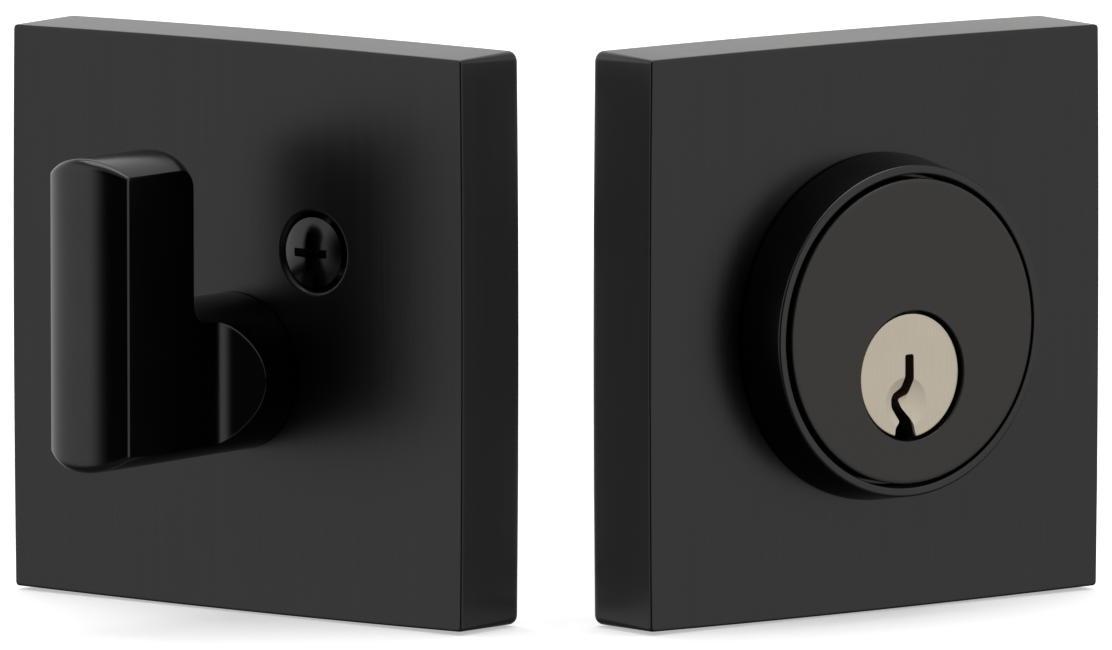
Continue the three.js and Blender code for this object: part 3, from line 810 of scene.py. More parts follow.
# The outside trim.
def guardCollar():
    sizes = {"base": 20.3, "front": 19.3, "land": 18.25, "depth": 6.35, "lip": 3, "bore": 15.8, "lift": 0.3}
    profile = [
        (sizes["bore"], sizes["lift"]),
        (sizes["base"], sizes["lift"]),
        (sizes["front"], sizes["depth"]),
        (sizes["land"], sizes["depth"]),
        (sizes["land"], sizes["lip"]),
        (sizes["bore"], sizes["lip"]),
    ]
    mesh = turnedBody(profile, 0.22, True, 192)
    return finished("guard_collar", mesh, outsidePlace, finishes["collar"], "collar")


housingSizes = {
    "face": 17.75,
    "faceAt": 6.7,
    "faceEdge": 0.18,
    "faceBack": 3.3,
    "neck": 15.5,
    "neckEnd": -23,
    "post": 3.6,
    "postEnd": -32.7,
    "bore": 6.65,
    "counterbore": 7.6,
    "counterboreAt": 4.2,
    "thread": 1.8,
}
pinSizes = {
    "count": 5,
    "first": -2,
    "pitch": 3.81,
    "radius": 1.45,
    "chamber": 1.75,
    "keyPins": (4.4, 5.3, 3.9, 5.6, 4.8),
    "driver": 3.8,
    "coil": 1.15,
    "wire": 0.32,
    "turns": 5,
    "top": 12.6,
}
pinHeights = [pinSizes["first"] - i * pinSizes["pitch"] for i in range(pinSizes["count"])]


def uprightBody(profile, depth, edge=0.12, count=32, x=0.0):
    return moved(laid(turnedBody(profile, edge, count=count), "y"), x, 0, depth)


def plainRod(radius, low, high, count=32):
    return [(0, low), (radius, low), (radius, high), (0, high)]


def cylinderHousing():
    s = housingSizes
    steps = [
        (s["neck"] - 0.9, s["neckEnd"]),
        (s["neck"] - 0.5, s["neckEnd"]),
        (s["neck"], s["neckEnd"] + 0.5),
        (s["neck"], s["neckEnd"] + 0.9),
        (s["neck"], s["faceBack"] - 0.1),
        (s["neck"] + 0.1, s["faceBack"]),
        (s["face"] - 0.2, s["faceBack"]),
        (s["face"], s["faceBack"] + 0.2),
        (s["face"], s["faceAt"] - 0.5),
    ]
    for turn in (0, 30, 60, 90):
        aside = s["faceEdge"] * (1 - math.cos(math.radians(turn)))
        down = s["faceEdge"] * (1 - math.sin(math.radians(turn)))
        steps.append((s["face"] - aside, s["faceAt"] - down))
    steps.append((s["face"] - 0.5, s["faceAt"]))
    bore = [
        (s["bore"] + 0.3, s["neckEnd"]),
        (s["bore"], s["neckEnd"] + 0.3),
        (s["bore"], s["counterboreAt"]),
        (s["counterbore"], s["counterboreAt"]),
        (s["counterbore"], s["faceAt"] - 0.12),
        (s["counterbore"] + 0.05, s["faceAt"] - 0.04),
        (s["counterbore"] + 0.12, s["faceAt"]),
        (s["counterbore"] + 0.4, s["faceAt"]),
    ]
    body = cappedBody(roundHole(steps, count=192), roundHole(bore, 0, -axisDrop, 128))
    posts = [
        moved(turnedBody(plainRod(s["post"], s["postEnd"], -3.2), 0.3, count=64), x, screwSizes["rise"])
        for x in screwPlaces.values()
    ]
    threads = [
        moved(turnedBody(plainRod(s["thread"], s["postEnd"] - 1, -18), 0, count=48), x, screwSizes["rise"])
        for x in screwPlaces.values()
    ]
    chambers = [
        uprightBody(plainRod(pinSizes["chamber"], -2, pinSizes["top"] + 1), z, 0)
        for z in pinHeights
    ]
    channel = boxBody((-2.4, 2.4), (pinSizes["top"], 17), (pinHeights[-1] - 3, pinHeights[0] + 3), 0.1, 0.3)
    relief = boxBody((-2.6, 1.4), (-axisDrop - 7.6, -axisDrop - 6), (-4, s["counterboreAt"] + 0.3), 0.1, 0.2)
    mesh = cutAway(joinOn(body, *posts), *threads, *chambers, channel, relief)
    return finished("cylinder_housing", mesh, outsidePlace, finishes["face"], "lock_body")


# The keyway, anticlockwise from the top left, about the middle of the plug.
plugSizes = {
    "radius": 6.35,
    "flange": 7.25,
    "faceAt": 6.15,
    "flangeBack": 4.5,
    "end": -23.6,
    "dimple": 3.0,
    "dimpleDeep": 0.36,
    "dimpleAt": (-0.53, -3.15),
}
keywayCorners = [
    (-0.65, 2.5), (-0.65, -0.1), (-1.15, -1.3), (-2.4, -2), (-2.65, -2.6), (-2.6, -3.55), (-1.4, -5.3),
    (-2, -5.9), (-2.3, -7.6), (1.05, -7.6), (0.65, -6.6), (0.45, -5.6), (0.05, -4.85), (-1, -3.7),
    (-1.6, -2.65), (-0.1, -2.15), (0.65, -0.45), (0.6, 2.5),
]


def keyPlug():
    s = plugSizes
    face = s["faceAt"]
    profile = [
        (0, face),
        (s["flange"], face),
        (s["flange"], s["flangeBack"]),
        (s["radius"], s["flangeBack"]),
        (s["radius"], s["end"]),
        (0, s["end"]),
    ]
    flange = turnedBody(profile, 0.14, count=128)
    reach = s["dimple"]
    bowl = [(0, face - s["dimpleDeep"]), (reach, face), (reach + 0.3, face + 0.1), (0, face + 1)]
    dimple = moved(turnedBody(bowl, 0, count=96), *s["dimpleAt"])
    outline = softened(keywayCorners, 0.32, True, 3)
    keyway = cappedBody([loopAt(outline, s["end"] - 1), loopAt(outline, face + 1)])
    lip = cappedBody([loopAt(outline, face - 0.16), loopAt(inset(outline, -0.3), face + 0.14)])
    chambers = [uprightBody(plainRod(pinSizes["chamber"], -1, 8), z, 0) for z in pinHeights]
    mesh = cutAway(flange, dimple, keyway, lip, *chambers)
    moved(mesh, 0, -axisDrop)
    return finished("key_plug", mesh, outsidePlace, finishes["plug"], "plug", 6)


guardCollar()
cylinderHousing()
keyPlug()
print("collar, cylinder and plug are built")


# Phillips recess: two crossed arms that taper as they go down.
def crossRecess(top, depth, long, wide):
    def tapered(halfLong, halfWide):
        levels = [(0.42, -depth), (1.0, 0.0), (1.1, 0.4)]
        loops = []
        for share, height in levels:
            x, y = halfLong * share, halfWide * (0.72 + 0.28 * share)
            corners = [(-x, -y), (x, -y), (x, y), (-x, y)]
            loops.append([Vector((*corner, top + height)) for corner in corners])
        return cappedBody(loops)

    return joinOn(tapered(long / 2, wide / 2), quarterTurn(tapered(long / 2, wide / 2)))


def quarterTurn(mesh):
    bmesh.ops.rotate(mesh, matrix=Matrix.Rotation(math.pi / 2, 3, "Z"), verts=mesh.verts[:])
    return mesh


# A threaded rod from a tree of nodes: a fine cylinder whose wall follows a helix, thinner at its tip.
def threadTree():
    tree = bpy.data.node_groups.new("threadedRod", "GeometryNodeTree")
    for name, kind in (("Radius", "Float"), ("Depth", "Float"), ("Pitch", "Float"), ("Length", "Float"),
                       ("Tip", "Float"), ("Point", "Float"), ("Rings", "Int")):
        tree.interface.new_socket(name, in_out="INPUT", socket_type="NodeSocket" + kind)
    tree.interface.new_socket("Finish", in_out="INPUT", socket_type="NodeSocketMaterial")
    tree.interface.new_socket("Geometry", in_out="OUTPUT", socket_type="NodeSocketGeometry")
    recipe = Recipe(tree)
    source = tree.nodes.new("NodeGroupInput")
    given = {name: Wire(recipe, source.outputs[name]) for name in
             ("Radius", "Depth", "Pitch", "Length", "Tip", "Point", "Rings", "Finish")}
    rod = recipe.add("GeometryNodeMeshCylinder", {}, {
        "Vertices": 32, "Side Segments": given["Rings"], "Radius": given["Radius"], "Depth": given["Length"]})
    point = recipe.add("GeometryNodeInputPosition")
    parts = tree.nodes.new("ShaderNodeSeparateXYZ")
    tree.links.new(point.socket, parts.inputs[0])
    x, y, z = [Wire(recipe, socket) for socket in parts.outputs]
    angle = y.math("ARCTAN2", y, x) / (2 * math.pi)
    climb = z / given["Pitch"] - angle
    sweep = climb.math("FRACT", climb) * 2 - 1
    ridge = sweep.math("ABSOLUTE", sweep)
    taper = recipe.smooth((z + given["Length"] * 0.5) / given["Tip"], 0.0, 1.0)
    share = (1 - given["Depth"] / given["Radius"] * ridge) * (given["Point"] + (1 - given["Point"]) * taper)
    offset = recipe.add("ShaderNodeCombineXYZ", {}, {0: x * (share - 1), 1: y * (share - 1), 2: 0.0})
    shaped = recipe.add("GeometryNodeSetPosition", {}, {"Geometry": rod, "Offset": offset})
    real = recipe.add("GeometryNodeRealizeInstances", {}, {"Geometry": shaped})
    done = recipe.add("GeometryNodeSetMaterial", {}, {"Geometry": real, "Material": given["Finish"]})
    recipe.add("NodeGroupOutput", {}, {"Geometry": done})
    return tree


# A coil of wire that stands on the z axis, from a spiral and a round section.
def springTree():
    tree = bpy.data.node_groups.new("wireCoil", "GeometryNodeTree")
    for name in ("Radius", "Wire", "Height", "Turns"):
        tree.interface.new_socket(name, in_out="INPUT", socket_type="NodeSocketFloat")
    tree.interface.new_socket("Finish", in_out="INPUT", socket_type="NodeSocketMaterial")
    tree.interface.new_socket("Geometry", in_out="OUTPUT", socket_type="NodeSocketGeometry")
    recipe = Recipe(tree)
    source = tree.nodes.new("NodeGroupInput")
    given = {name: Wire(recipe, source.outputs[name]) for name in
             ("Radius", "Wire", "Height", "Turns", "Finish")}
    path = recipe.add("GeometryNodeCurveSpiral", {}, {
        "Resolution": 24, "Rotations": given["Turns"], "Start Radius": given["Radius"],
        "End Radius": given["Radius"], "Height": given["Height"]})
    section = recipe.add("GeometryNodeCurvePrimitiveCircle", {}, {
        "Resolution": 10, "Radius": given["Wire"] * 0.5})
    tube = recipe.add("GeometryNodeCurveToMesh", {}, {
        "Curve": path, "Profile Curve": section, "Fill Caps": True})
    real = recipe.add("GeometryNodeRealizeInstances", {}, {"Geometry": tube})
    done = recipe.add("GeometryNodeSetMaterial", {}, {"Geometry": real, "Material": given["Finish"]})
    recipe.add("NodeGroupOutput", {}, {"Geometry": done})
    return tree


# Runs a tree with these inputs and gives its result back as a body.
def grown(tree, values):
    carrier = bpy.data.objects.new("carrier", bpy.data.meshes.new("carrier"))
    bpy.context.scene.collection.objects.link(carrier)
    modifier = carrier.modifiers.new("grow", "NODES")
    modifier.node_group = tree
    for item in tree.interface.items_tree:
        if item.in_out == "INPUT":
            modifier[item.identifier] = values[item.name]
    bpy.context.view_layer.update()
    evaluated = carrier.evaluated_get(bpy.context.evaluated_depsgraph_get())
    result = bpy.data.meshes.new_from_object(evaluated)
    carrier.modifiers.clear()
    mesh = bmesh.new()
    mesh.from_mesh(result)
    bpy.data.meshes.remove(result)
    bpy.data.objects.remove(carrier)
    return settled(mesh)


threads = threadTree()
coils = springTree()


def threadedRod(radius, depth, pitch, length, tip, point, material):
    rings = round(length / pitch * 10)
    values = {"Radius": radius, "Depth": depth, "Pitch": pitch, "Length": length, "Tip": tip, "Point": point,
              "Rings": rings, "Finish": material}
    return moved(grown(threads, values), 0, 0, -length / 2)


def appended(base, *others):
    for other in others:
        data = bpy.data.meshes.new("appended")
        other.to_mesh(data)
        other.free()
        base.from_mesh(data)
        bpy.data.meshes.remove(data)
    return base


def throughScrew(side, x):
    s = screwSizes
    dome = [(s["head"] * i / 12, s["dome"] * (1 - (i / 12) ** 2)) for i in range(13)]
    profile = [*dome, (s["head"], -0.12), (s["shank"] + 0.12, -2.05), (s["shank"] + 0.02, -2.9), (0, -2.9)]
    head = turnedBody(profile, 0, count=96)
    recess = crossRecess(s["dome"], 1.9, 5.2, 1.0)
    length = s["length"] - s["threadAt"]
    rod = threadedRod(s["shank"], s["thread"], s["pitch"], length, 1.2, 0.6, finishes["screw"])
    mesh = appended(cutAway(head, recess), moved(rod, 0, 0, -s["threadAt"]))
    moved(mesh, x, s["rise"])
    name = "through_screw_" + side
    return finished(name, mesh, insidePlace, finishes["screw"], "lock_body", 32)


for side, x in screwPlaces.items():
    throughScrew(side, x)
print("through screws are built")

# What stands behind the roses: sheet steel plates, and the parts that hold and drive the thumbturn.
plateSizes = {"side": 57, "corner": 5, "low": -10.75, "high": -9.15, "centre": 10, "screwHole": 2.58}


def backingPlate(name, place, holes):
    s = plateSizes
    outline = roundedOutline(s["side"], s["side"], s["corner"], cornerSteps=14)
    mesh = slab(outline, s["low"], s["high"], 0.25, holes)
    return finished(name, mesh, place, finishes["zinc"], "lock_body")


def thumbturnSpindle():
    sizes = {"stub": 2.5, "stubAt": -1.8, "radius": 5, "shoulder": -5.9, "end": -12.5, "slot": -7.5}
    profile = [
        (0, sizes["stubAt"]),
        (sizes["stub"], sizes["stubAt"]),
        (sizes["stub"], sizes["shoulder"]),
        (sizes["radius"], sizes["shoulder"]),
        (sizes["radius"], sizes["end"]),
        (0, sizes["end"]),
    ]
    slot = boxBody((-1.3, 1.3), (-3.3, 3.3), (-14, sizes["slot"]), 0.1, 0.15)
    mouth = cappedBody([
        loopAt(roundedOutline(3.8, 7.8, 0.3), sizes["end"] - 0.1),
        loopAt(roundedOutline(2.4, 6.4, 0.3), sizes["end"] + 0.6),
    ])
    mesh = moved(cutAway(turnedBody(profile, 0.3), slot, mouth), 0, -axisDrop)
    zinc = finishes["zinc"]
    return finished("thumbturn_spindle", mesh, insidePlace, zinc, "thumbturn")


def thumbturnWasher():
    profile = [(6.8, -3.3), (9.5, -3.3), (9.5, -2.8), (6.8, -2.8)]
    mesh = turnedBody(profile, 0.12, True, 96, 0, -axisDrop)
    return finished("thumbturn_washer", mesh, insidePlace, finishes["steel"], "lock_body")


# The clip grips its groove with three lobes and is open below.
def thumbturnClip():
    sizes = {"outer": 8.6, "grip": 5.7, "relief": 6.5, "open": 17.5}
    outline = arc((0, 0), sizes["outer"], sizes["open"] - 90, 270 - sizes["open"], 60)
    start, end = 270 - sizes["open"] - 4, sizes["open"] - 86
    steps = 72
    for i in range(steps + 1):
        angle = start + (end - start) * i / steps
        near = min(abs(angle - lobe) for lobe in (start - 8, 90, end + 8))
        share = min(max((near - 14) / 8, 0), 1)
        radius = sizes["grip"] + (sizes["relief"] - sizes["grip"]) * share * share * (3 - 2 * share)
        turn = math.radians(angle)
        outline.append(Vector((radius * math.cos(turn), radius * math.sin(turn))))
    mesh = moved(slab(outline, -4.65, -3.95, 0.1), 0, -axisDrop)
    return finished("thumbturn_clip", mesh, insidePlace, finishes["spring"], "thumbturn")


# The cap behind the plug, with notches round its rim.
def plugRetainer():
    profile = [(5.9, -23.9), (8.2, -23.9), (8.2, -27.9), (4, -27.9), (4, -26.7), (5.9, -26.7)]
    ring = turnedBody(profile, 0.2, True, 120)
    notches = [turnedBody(plainRod(0.42, -29, -22), 0, count=12, x=x, y=y)
               for x, y in circle(8.4, 20)]
    mesh = moved(cutAway(ring, appended(*notches)), 0, -axisDrop)
    return finished("plug_retainer", mesh, outsidePlace, finishes["zinc"], "plug")


# A flat bar that is scored across, so that it can be snapped to length.
def tailpiece():
    sizes = {
        "head": 5.5,
        "headHigh": -24.3,
        "headLow": -26.2,
        "half": 3.1,
        "thick": 1.1,
        "start": -25,
        "end": -51.4,
        "scores": 6,
        "scoreStart": -31,
        "scorePitch": 2.6,
    }
    half, end = sizes["half"], sizes["end"]
    edge = [(half, sizes["start"])]
    for i in range(sizes["scores"]):
        at = sizes["scoreStart"] - i * sizes["scorePitch"]
        edge += [(half, at + 0.35), (half - 0.3, at), (half, at - 0.35)]
    edge += [(half, end + 3), (half - 0.8, end + 2), (half - 1, end)]
    outline = [Vector((-x, y)) for x, y in edge] + [Vector((x, y)) for x, y in reversed(edge)]
    bar = pointed(slab(outline, -sizes["thick"], sizes["thick"], 0.15), (0, 1, 0), (0, 0, 1), (1, 0, 0))
    head = turnedBody(plainRod(sizes["head"], sizes["headLow"], sizes["headHigh"]), 0.25)
    mesh = moved(joinOn(head, bar), 0, -axisDrop)
    return finished("tailpiece", mesh, outsidePlace, finishes["steel"], "tailpiece")


# The strip that closes the pin chambers, staked over each of them.
def pinCover():
    low, high = 12.9, 14.1
    strip = boxBody((-2.1, 2.1), (pinHeights[-1] - 2.7, pinHeights[0] + 2.7), (low, high), 0.2, 0.5)
    stake = [(0, high - 0.35), (0.8, high + 0.05), (0, high + 0.5)]
    stakes = [turnedBody(stake, 0, count=24, y=z) for z in pinHeights]
    mesh = pointed(cutAway(strip, appended(*stakes)), (-1, 0, 0), (0, 0, 1), (0, 1, 0))
    zinc = finishes["zinc"]
    return finished("pin_chamber_cover", mesh, outsidePlace, zinc, "lock_body")


def keyPin(i):
    low = -axisDrop - 0.7
    high = low + pinSizes["keyPins"][i]
    radius = pinSizes["radius"]
    profile = [(0, low), (0.5, low), (radius, low + 1)]
    profile += [(radius, high - 0.3), (radius - 0.2, high), (0, high + 0.02)]
    name = f"key_pin_{i + 1}"
    mesh = uprightBody(profile, pinHeights[i], 0.1)
    return finished(name, mesh, outsidePlace, finishes["brass"], name)


# The driver pins have two shallow grooves, which catch a pick.
def driverPin(i):
    low = -axisDrop + plugSizes["radius"] + 0.45
    high = low + pinSizes["driver"]
    radius = pinSizes["radius"]
    profile = [(0, low), (radius - 0.15, low), (radius, low + 0.15)]
    for groove in (0.8, 1.6):
        profile += [(radius, low + groove), (radius - 0.16, low + groove + 0.1),
                    (radius - 0.16, low + groove + 0.3), (radius, low + groove + 0.4)]
    profile += [(radius, high - 0.15), (radius - 0.15, high), (0, high)]
    name = f"driver_pin_{i + 1}"
    mesh = uprightBody(profile, pinHeights[i], 0.03)
    return finished(name, mesh, outsidePlace, finishes["brass"], name)


def pinSpring(i):
    low = -axisDrop + plugSizes["radius"] + 0.45 + pinSizes["driver"] + 0.16
    high = pinSizes["top"] - 0.2
    values = {"Radius": pinSizes["coil"], "Wire": pinSizes["wire"], "Height": high - low,
              "Turns": pinSizes["turns"], "Finish": finishes["spring"]}
    coil = laid(grown(coils, values), "y")
    top = max(corner.co.y for corner in coil.verts)
    mesh = moved(coil, 0, high + pinSizes["wire"] / 2 - top, pinHeights[i])
    name = f"pin_spring_{i + 1}"
    piece = finished(name, mesh, outsidePlace, finishes["spring"], "lock_body", 60)
    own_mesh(piece)
    return piece


backingPlate("interior_backing_plate", insidePlace, [
    circle(plateSizes["centre"], 96, 0, -axisDrop),
    *[circle(plateSizes["screwHole"], 48, x, screwSizes["rise"]) for x in screwPlaces.values()],
])
postReach = math.hypot(screwSizes["side"], screwSizes["rise"]) + housingSizes["post"] + 0.4
backingPlate("exterior_backing_plate", outsidePlace, [circle(postReach, 128)])
thumbturnSpindle()
thumbturnWasher()
thumbturnClip()
plugRetainer()
tailpiece()
pinCover()
for i in range(pinSizes["count"]):
    keyPin(i)
    driverPin(i)
    pinSpring(i)
print("hidden pieces of the trims are built")


# The bolt unit. Its plates, sleeve and bolt are drawn in the face place, its case and crank lying flat.
boltSizes = {
    "long": 57.2,
    "wide": 25.4,
    "thick": 1.5,
    "corner": 6.3,
    "windowLong": 17.8,
    "windowWide": 12.3,
    "windowCorner": 2.2,
    "screwSide": 22.2,
}


def ringPlate(outline, window, seats, low, high, edge):
    holes = [wall(window, low, high, edge * 0.6, False), *seats]
    return cappedBody(wall(outline, low, high, edge), *holes)


def boltFaceplate():
    s = boltSizes
    outline = roundedOutline(s["long"], s["wide"], s["corner"], cornerSteps=16)
    window = roundedOutline(s["windowLong"], s["windowWide"], s["windowCorner"])
    steps = [(3.32, -s["thick"]), (4.55, -0.1), (4.65, -0.02), (4.8, 0)]
    seats = [roundHole(steps, side * s["screwSide"]) for side in (-1, 1)]
    mesh = ringPlate(outline, window, seats, -s["thick"], 0, 0.25)
    return finished("bolt_faceplate", mesh, facePlace, finishes["boltNickel"], "lock_body")


def boltBackingPlate():
    s = boltSizes
    shrink = 2.4
    outline = roundedOutline(s["long"] - shrink, s["wide"] - shrink, s["corner"] - shrink / 2, cornerSteps=16)
    window = roundedOutline(s["windowLong"], s["windowWide"], s["windowCorner"])
    steps = [(2.8, -3.1), (2.7, -3.0), (2.7, -2.2), (3.2, -1.65)]
    seats = [roundHole(steps, side * s["screwSide"]) for side in (-1, 1)]
    mesh = ringPlate(outline, window, seats, -3.1, -1.65, 0.2)
    return finished("bolt_backing_plate", mesh, facePlace, finishes["zinc"], "lock_body")


# A rolled tube, with the seam of the roll below it.
def boltSleeve():
    sizes = {"outer": 11.7, "inner": 10.6, "low": -36.6, "high": -3.4, "seam": 0.22}
    profile = [(sizes["inner"], sizes["low"]), (sizes["outer"], sizes["low"]),
               (sizes["outer"], sizes["high"]), (sizes["inner"], sizes["high"])]
    tube = turnedBody(profile, 0.2, True, 144)
    length = (sizes["low"] - 1, sizes["high"] + 1)
    seam = boxBody((-0.12, 0.12), (-12, sizes["seam"] - sizes["outer"]), length, 0.04, 0.05)
    mesh = cutAway(tube, seam)
    return finished("bolt_sleeve", mesh, facePlace, finishes["zinc"], "lock_body")


caseSizes = {
    "half": 11.2,
    "low": 0.15,
    "high": 5.8,
    "end": -80,
    "front": -36.9,
    "wall": 1.2,
    "hub": 5.2,
    "bead": 0.35,
    "rivetHole": 1.75,
    "upperWindow": 3.6,
    "lowerWindow": 4,
}
rivetPlaces = [(7, -76), (7.6, -40)]


# The case is two pressed shells, face to face, with a bead pressed up round the hub.
def caseHalf(name, side):
    s = caseSizes
    middle = Vector((0, (s["end"] + s["front"]) / 2))
    outline = [point + middle for point in roundedOutline(2 * s["half"], s["front"] - s["end"], 1.2)]
    shell = cappedBody(wall(outline, s["low"], s["high"], 0.1, highEdge=0.9))
    inner = s["half"] - s["wall"]
    along, upTo = (s["end"] + s["wall"], s["front"] + 3), (-1, s["high"] - s["wall"])
    hollow = boxBody((-inner, inner), along, upTo, 0.4, 0.6)
    beadProfile = [(s["hub"] - 0.2, s["high"] - 0.6), (s["hub"] + 1.5, s["high"] - 0.6),
                   (s["hub"] + 1.1, s["high"] + s["bead"]), (s["hub"] - 0.2, s["high"] + s["bead"])]
    bead = turnedBody(beadProfile, 0.25, True, 96, crankAt["x"], crankAt["y"])
    hubHole = turnedBody(plainRod(s["hub"], -1, 9), 0, count=96, x=crankAt["x"], y=crankAt["y"])
    windowTop = s["upperWindow"] if side > 0 else s["lowerWindow"]
    window = boxBody((-14, 0), (crankAt["y"] - 15.5, crankAt["y"] + 15.5), (-1, windowTop), 0.1, 0.6)
    rivets = [turnedBody(plainRod(s["rivetHole"], -1, 9), 0, count=32, x=x, y=y) for x, y in rivetPlaces]
    rib = boxBody((-6.6, -5.4), (-70, -46), (s["high"] - 0.3, s["high"] + 1), 0.1, 0.59)
    mesh = cutAway(joinOn(cutAway(shell, hollow), bead), hubHole, window, appended(*rivets), rib)
    if side < 0:
        bmesh.ops.scale(mesh, vec=(1, 1, -1), verts=mesh.verts[:])
        bmesh.ops.reverse_faces(mesh, faces=mesh.faces[:])
    return finished(name, mesh, flatPlace, finishes["zinc"], "lock_body")


def caseRivet(i):
    sizes = {"shank": 1.45, "head": 2.3, "seat": 5.85, "dome": 6.4}
    turns = [math.radians(15 * step) for step in range(7)]
    rise = sizes["dome"] - sizes["seat"]
    dome = [(sizes["head"] * math.sin(a), sizes["seat"] + rise * math.cos(a)) for a in turns]
    upper = [*dome, (sizes["shank"], sizes["seat"])]
    profile = upper + [(radius, -height) for radius, height in reversed(upper)]
    x, y = rivetPlaces[i]
    mesh = turnedBody(profile, 0, count=48, x=x, y=y)
    return finished(f"case_rivet_{i + 1}", mesh, flatPlace, finishes["steel"], "lock_body")


def deadBolt():
    sizes = {
        "wide": 17,
        "thick": 11.5,
        "back": -36,
        "front": -0.2,
        "corner": 2,
        "pinBore": 3,
        "pinSide": -3,
        "slot": 2.35,
        "slotEnd": 3.2,
    }
    outline = roundedOutline(sizes["wide"], sizes["thick"], sizes["corner"], cornerSteps=10)
    nose = cappedBody(wall(outline, sizes["back"], sizes["front"], 0.3, highEdge=0.7))
    bore = turnedBody(plainRod(sizes["pinBore"], -38, -6), 0, count=64, x=sizes["pinSide"])
    nose = cutAway(nose, bore)
    carry = facePlace.inverted() @ flatPlace
    pinX, pinY = crankPinAt["x"], crankPinAt["y"]
    tail = boxBody((-9, -1), (pinY - 4.5, sizes["back"] + 1), (-3.4, -0.6), 0.2, 0.8)
    slotAlong = (pinY - sizes["slot"], pinY + sizes["slot"])
    slot = boxBody((-11, pinX + sizes["slotEnd"]), slotAlong, (-5, 1), 0.1, 0.5)
    tail = cutAway(tail, slot)
    bmesh.ops.transform(tail, matrix=carry, verts=tail.verts[:])
    return finished("dead_bolt", joinOn(nose, tail), facePlace, finishes["barNickel"], "bolt")


def hardenedPin():
    mesh = turnedBody(plainRod(2.7, -34.5, -6.4), 0.5, count=64, x=-3)
    return finished("bolt_hardened_pin", mesh, facePlace, finishes["steel"], "bolt")


# The hull of two circles: the shape of the crank's arm.
def armOutline(start, startRadius, end, endRadius):
    along = end - start
    turn = math.degrees(math.atan2(along.y, along.x))
    lean = math.degrees(math.acos((startRadius - endRadius) / along.length))
    back = arc(start, startRadius, turn + lean, turn + 360 - lean, 32)
    return back + arc(end, endRadius, turn - lean, turn + lean, 24)


def boltCrank():
    hubAt = Vector((crankAt["x"], crankAt["y"]))
    pinAt = Vector((crankPinAt["x"], crankPinAt["y"]))
    hubProfile = [(0, -6.3), (4.1, -6.3), (4.8, -5.7), (4.8, 5.7), (4.1, 6.3), (0, 6.3)]
    hub = turnedBody(hubProfile, 0.12, count=96, x=hubAt.x, y=hubAt.y)
    arm = slab(armOutline(hubAt, 3.6, pinAt, 2.5), 0.4, 2.9, 0.3)
    pin = turnedBody(plainRod(1.5, -3.2, 1), 0.25, count=48, x=pinAt.x, y=pinAt.y)
    slot = boxBody((hubAt.x - 3.3, hubAt.x + 3.3), (hubAt.y - 1.3, hubAt.y + 1.3), (-9, 9), 0.1, 0.15)
    mesh = cutAway(joinOn(hub, arm, pin), slot)
    return finished("bolt_crank", mesh, flatPlace, finishes["cast"], "crank")


def woodScrewBody():
    sizes = {"head": 4, "shank": 2.1, "length": 19, "threadAt": 3.2, "pitch": 1.6, "thread": 0.55, "tip": 5}
    profile = [(0, 0.12), (2.4, 0.08), (3.6, -0.02), (sizes["head"], -0.14), (sizes["head"], -0.24),
               (sizes["shank"] + 0.1, -2.35), (sizes["shank"] - 0.25, -4), (0, -4)]
    head = turnedBody(profile, 0.05, count=64)
    recess = crossRecess(0.12, 1.6, 4.6, 1.05)
    length = sizes["length"] - sizes["threadAt"]
    rod = threadedRod(sizes["shank"], sizes["thread"], sizes["pitch"], length, sizes["tip"], 0.04,
                      finishes["screwNickel"])
    return appended(cutAway(head, recess), moved(rod, 0, 0, -sizes["threadAt"]))


def woodScrew(name, place, x, height):
    mesh = moved(woodScrewBody(), x, 0, height)
    return finished(name, mesh, place, finishes["screwNickel"], "lock_body", 32)


boltFaceplate()
boltBackingPlate()
boltSleeve()
caseHalf("bolt_case_upper", 1)
caseHalf("bolt_case_lower", -1)
for i in range(len(rivetPlaces)):
    caseRivet(i)
deadBolt()
hardenedPin()
boltCrank()
for i, x in enumerate((boltSizes["screwSide"], -boltSizes["screwSide"])):
    woodScrew(f"faceplate_screw_{i + 1}", facePlace, x, -0.1)
print("bolt unit is built")


# The strike, face up on its dust box.
strikeSizes = {
    "wide": 28.6,
    "low": 26.3,
    "high": 27.8,
    "boxLong": 33,
    "boxWide": 20,
    "boxHigh": 26,
    "boxWall": 1.2,
    "windowLong": 29,
    "windowWide": 16,
    "windowCorner": 3,
}


def strikePlate():
    s = strikeSizes
    outline = roundedOutline(boltSizes["long"], s["wide"], boltSizes["corner"], cornerSteps=16)
    window = roundedOutline(s["windowLong"], s["windowWide"], s["windowCorner"])
    steps = [(3.0, s["low"]), (4.4, s["high"] - 0.1), (4.5, s["high"] - 0.02), (4.65, s["high"])]
    seats = [roundHole(steps, side * boltSizes["screwSide"]) for side in (-1, 1)]
    mesh = ringPlate(outline, window, seats, s["low"], s["high"], 0.25)
    return finished("strike_plate", mesh, strikePlace, finishes["strikeNickel"], "lock_body")


def strikeBox():
    s = strikeSizes
    corner, bend, lip = 3, 0.9, 0.2
    inner = -s["boxWall"]
    turns = [math.radians(90 * step / 4) for step in range(5)]
    floor, top = s["boxWall"], s["boxHigh"]
    levels = [(inner - bend * 1.6, floor)]
    levels += [(inner - bend * (1 - math.sin(a)), floor + bend * (1 - math.cos(a))) for a in turns]
    levels += [(inner, top - lip), (inner + lip, top), (-lip, top), (0, top - lip)]
    levels += [(-bend * (1 - math.cos(a)), bend * (1 - math.sin(a))) for a in turns]
    levels.append((-bend * 1.6, 0))
    loops = []
    for grow, height in levels:
        long, wide = s["boxLong"] + 2 * grow, s["boxWide"] + 2 * grow
        loops.append(loopAt(roundedOutline(long, wide, max(corner + grow, 0.4)), height))
    mesh = cappedBody(loops)
    return finished("strike_box", mesh, strikePlace, finishes["zinc"], "lock_body")


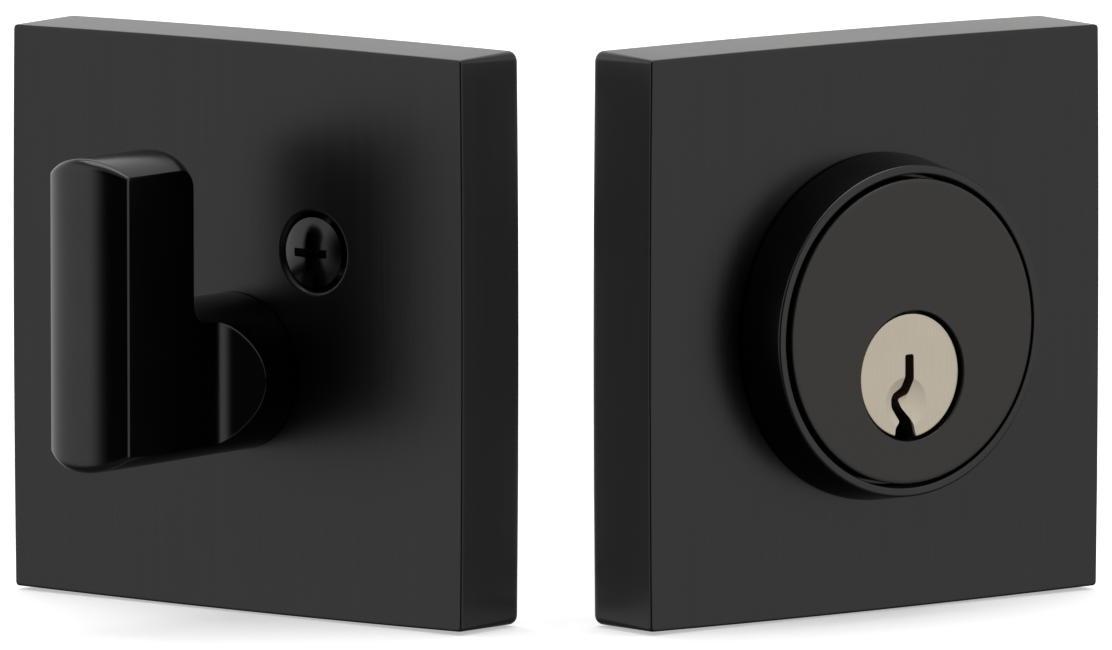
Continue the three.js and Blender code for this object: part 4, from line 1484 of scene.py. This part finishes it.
strikePlate()
strikeBox()
for i, x in enumerate((-boltSizes["screwSide"], boltSizes["screwSide"])):
    woodScrew(f"strike_screw_{i + 1}", strikePlace, x, strikeSizes["high"] - 0.13)
print("strike is built")


# The studio: bright walls behind and beside the lock, and a dark room behind the camera.
studio = {"back": 0.95, "side": 0.9, "front": 0.01, "above": 0.4, "below": 0.12, "flag": 0.5, "shown": 1.0}


def studioWorld():
    world = bpy.data.worlds.new("studio")
    world.use_nodes = True
    world.node_tree.nodes.clear()
    recipe = Recipe(world.node_tree)
    parts = world.node_tree.nodes.new("ShaderNodeSeparateXYZ")
    direction = recipe.add("ShaderNodeTexCoord", {}, {}, "Generated")
    world.node_tree.links.new(direction.socket, parts.inputs[0])
    across, along, rise = [Wire(recipe, socket) for socket in parts.outputs]
    ahead = recipe.smooth(along, -0.87, -0.5)
    behind = recipe.smooth(along, 0.0, 0.8)
    sideGain, backGain = studio["side"] - studio["front"], studio["back"] - studio["side"]
    walls = studio["front"] + ahead * sideGain + behind * backGain
    overhead = recipe.smooth(rise, 0.35, 0.85)
    flagged = recipe.smooth(across, 0.3, 0.7) * recipe.smooth(along, -0.02, 0.2)
    walls = walls * (1 - (1 - studio["flag"]) * flagged)
    beneath = recipe.smooth(rise, -0.05, -0.55)
    level = walls * (1 - beneath) + beneath * studio["below"]
    light = level * (1 - overhead) + overhead * studio["above"]
    seen = recipe.add("ShaderNodeLightPath", {}, {}, "Is Camera Ray")
    strength = light * (1 - seen) + seen * studio["shown"]
    background = recipe.add("ShaderNodeBackground", {}, {"Color": (1, 0.995, 0.985, 1), "Strength": strength})
    recipe.add("ShaderNodeOutputWorld", {}, {"Surface": background})
    bpy.context.scene.world = world


studioWorld()


def softLight(name, location, target, size, power):
    data = bpy.data.lights.new(name, "AREA")
    data.shape = "RECTANGLE"
    data.size, data.size_y = size
    data.energy = power
    light = bpy.data.objects.new(name, data)
    light.location = location
    aim = Vector(target) - Vector(location)
    light.rotation_euler = aim.to_track_quat("-Z", "Y").to_euler()
    bpy.context.scene.collection.objects.link(light)
    return light


softLight("overhead", (0, 0.25, 1.6), (0, 0, 0), (1.8, 1.4), 20)
# Two narrow strips stand in the V, where each rose would otherwise only see the dark side of the other.
between = insidePlace.translation.y - 0.014
for side in (-1, 1):
    strip = softLight("strip", (0, between, 0.037), (side, between, 0.037), (0.011, 0.07), 0.0005)
    strip.visible_camera = False


def paleFloor():
    mesh = bmesh.new()
    bmesh.ops.create_circle(mesh, cap_ends=True, segments=96, radius=6)
    data = bpy.data.meshes.new("floor")
    mesh.to_mesh(data)
    mesh.free()

    def describe(recipe):
        point = recipe.add("ShaderNodeTexCoord", {}, {}, "Object")
        tone = recipe.noise(point, 3, 2)
        return {
            "Base Color": recipe.mixed(tone, (0.9, 0.9, 0.9), (0.94, 0.94, 0.94)),
            "Roughness": 0.9,
            "Specular IOR Level": 0.1,
            "Emission Color": (1, 1, 1, 1),
            "Emission Strength": 0.45,
        }

    data.materials.append(newMaterial("pale_floor", describe))
    floor = bpy.data.objects.new("floor", data)
    floor.location = (0, 0, -0.0002)
    floor.visible_glossy = False
    bpy.context.scene.collection.objects.link(floor)


paleFloor()
print("floor and lights are ready")
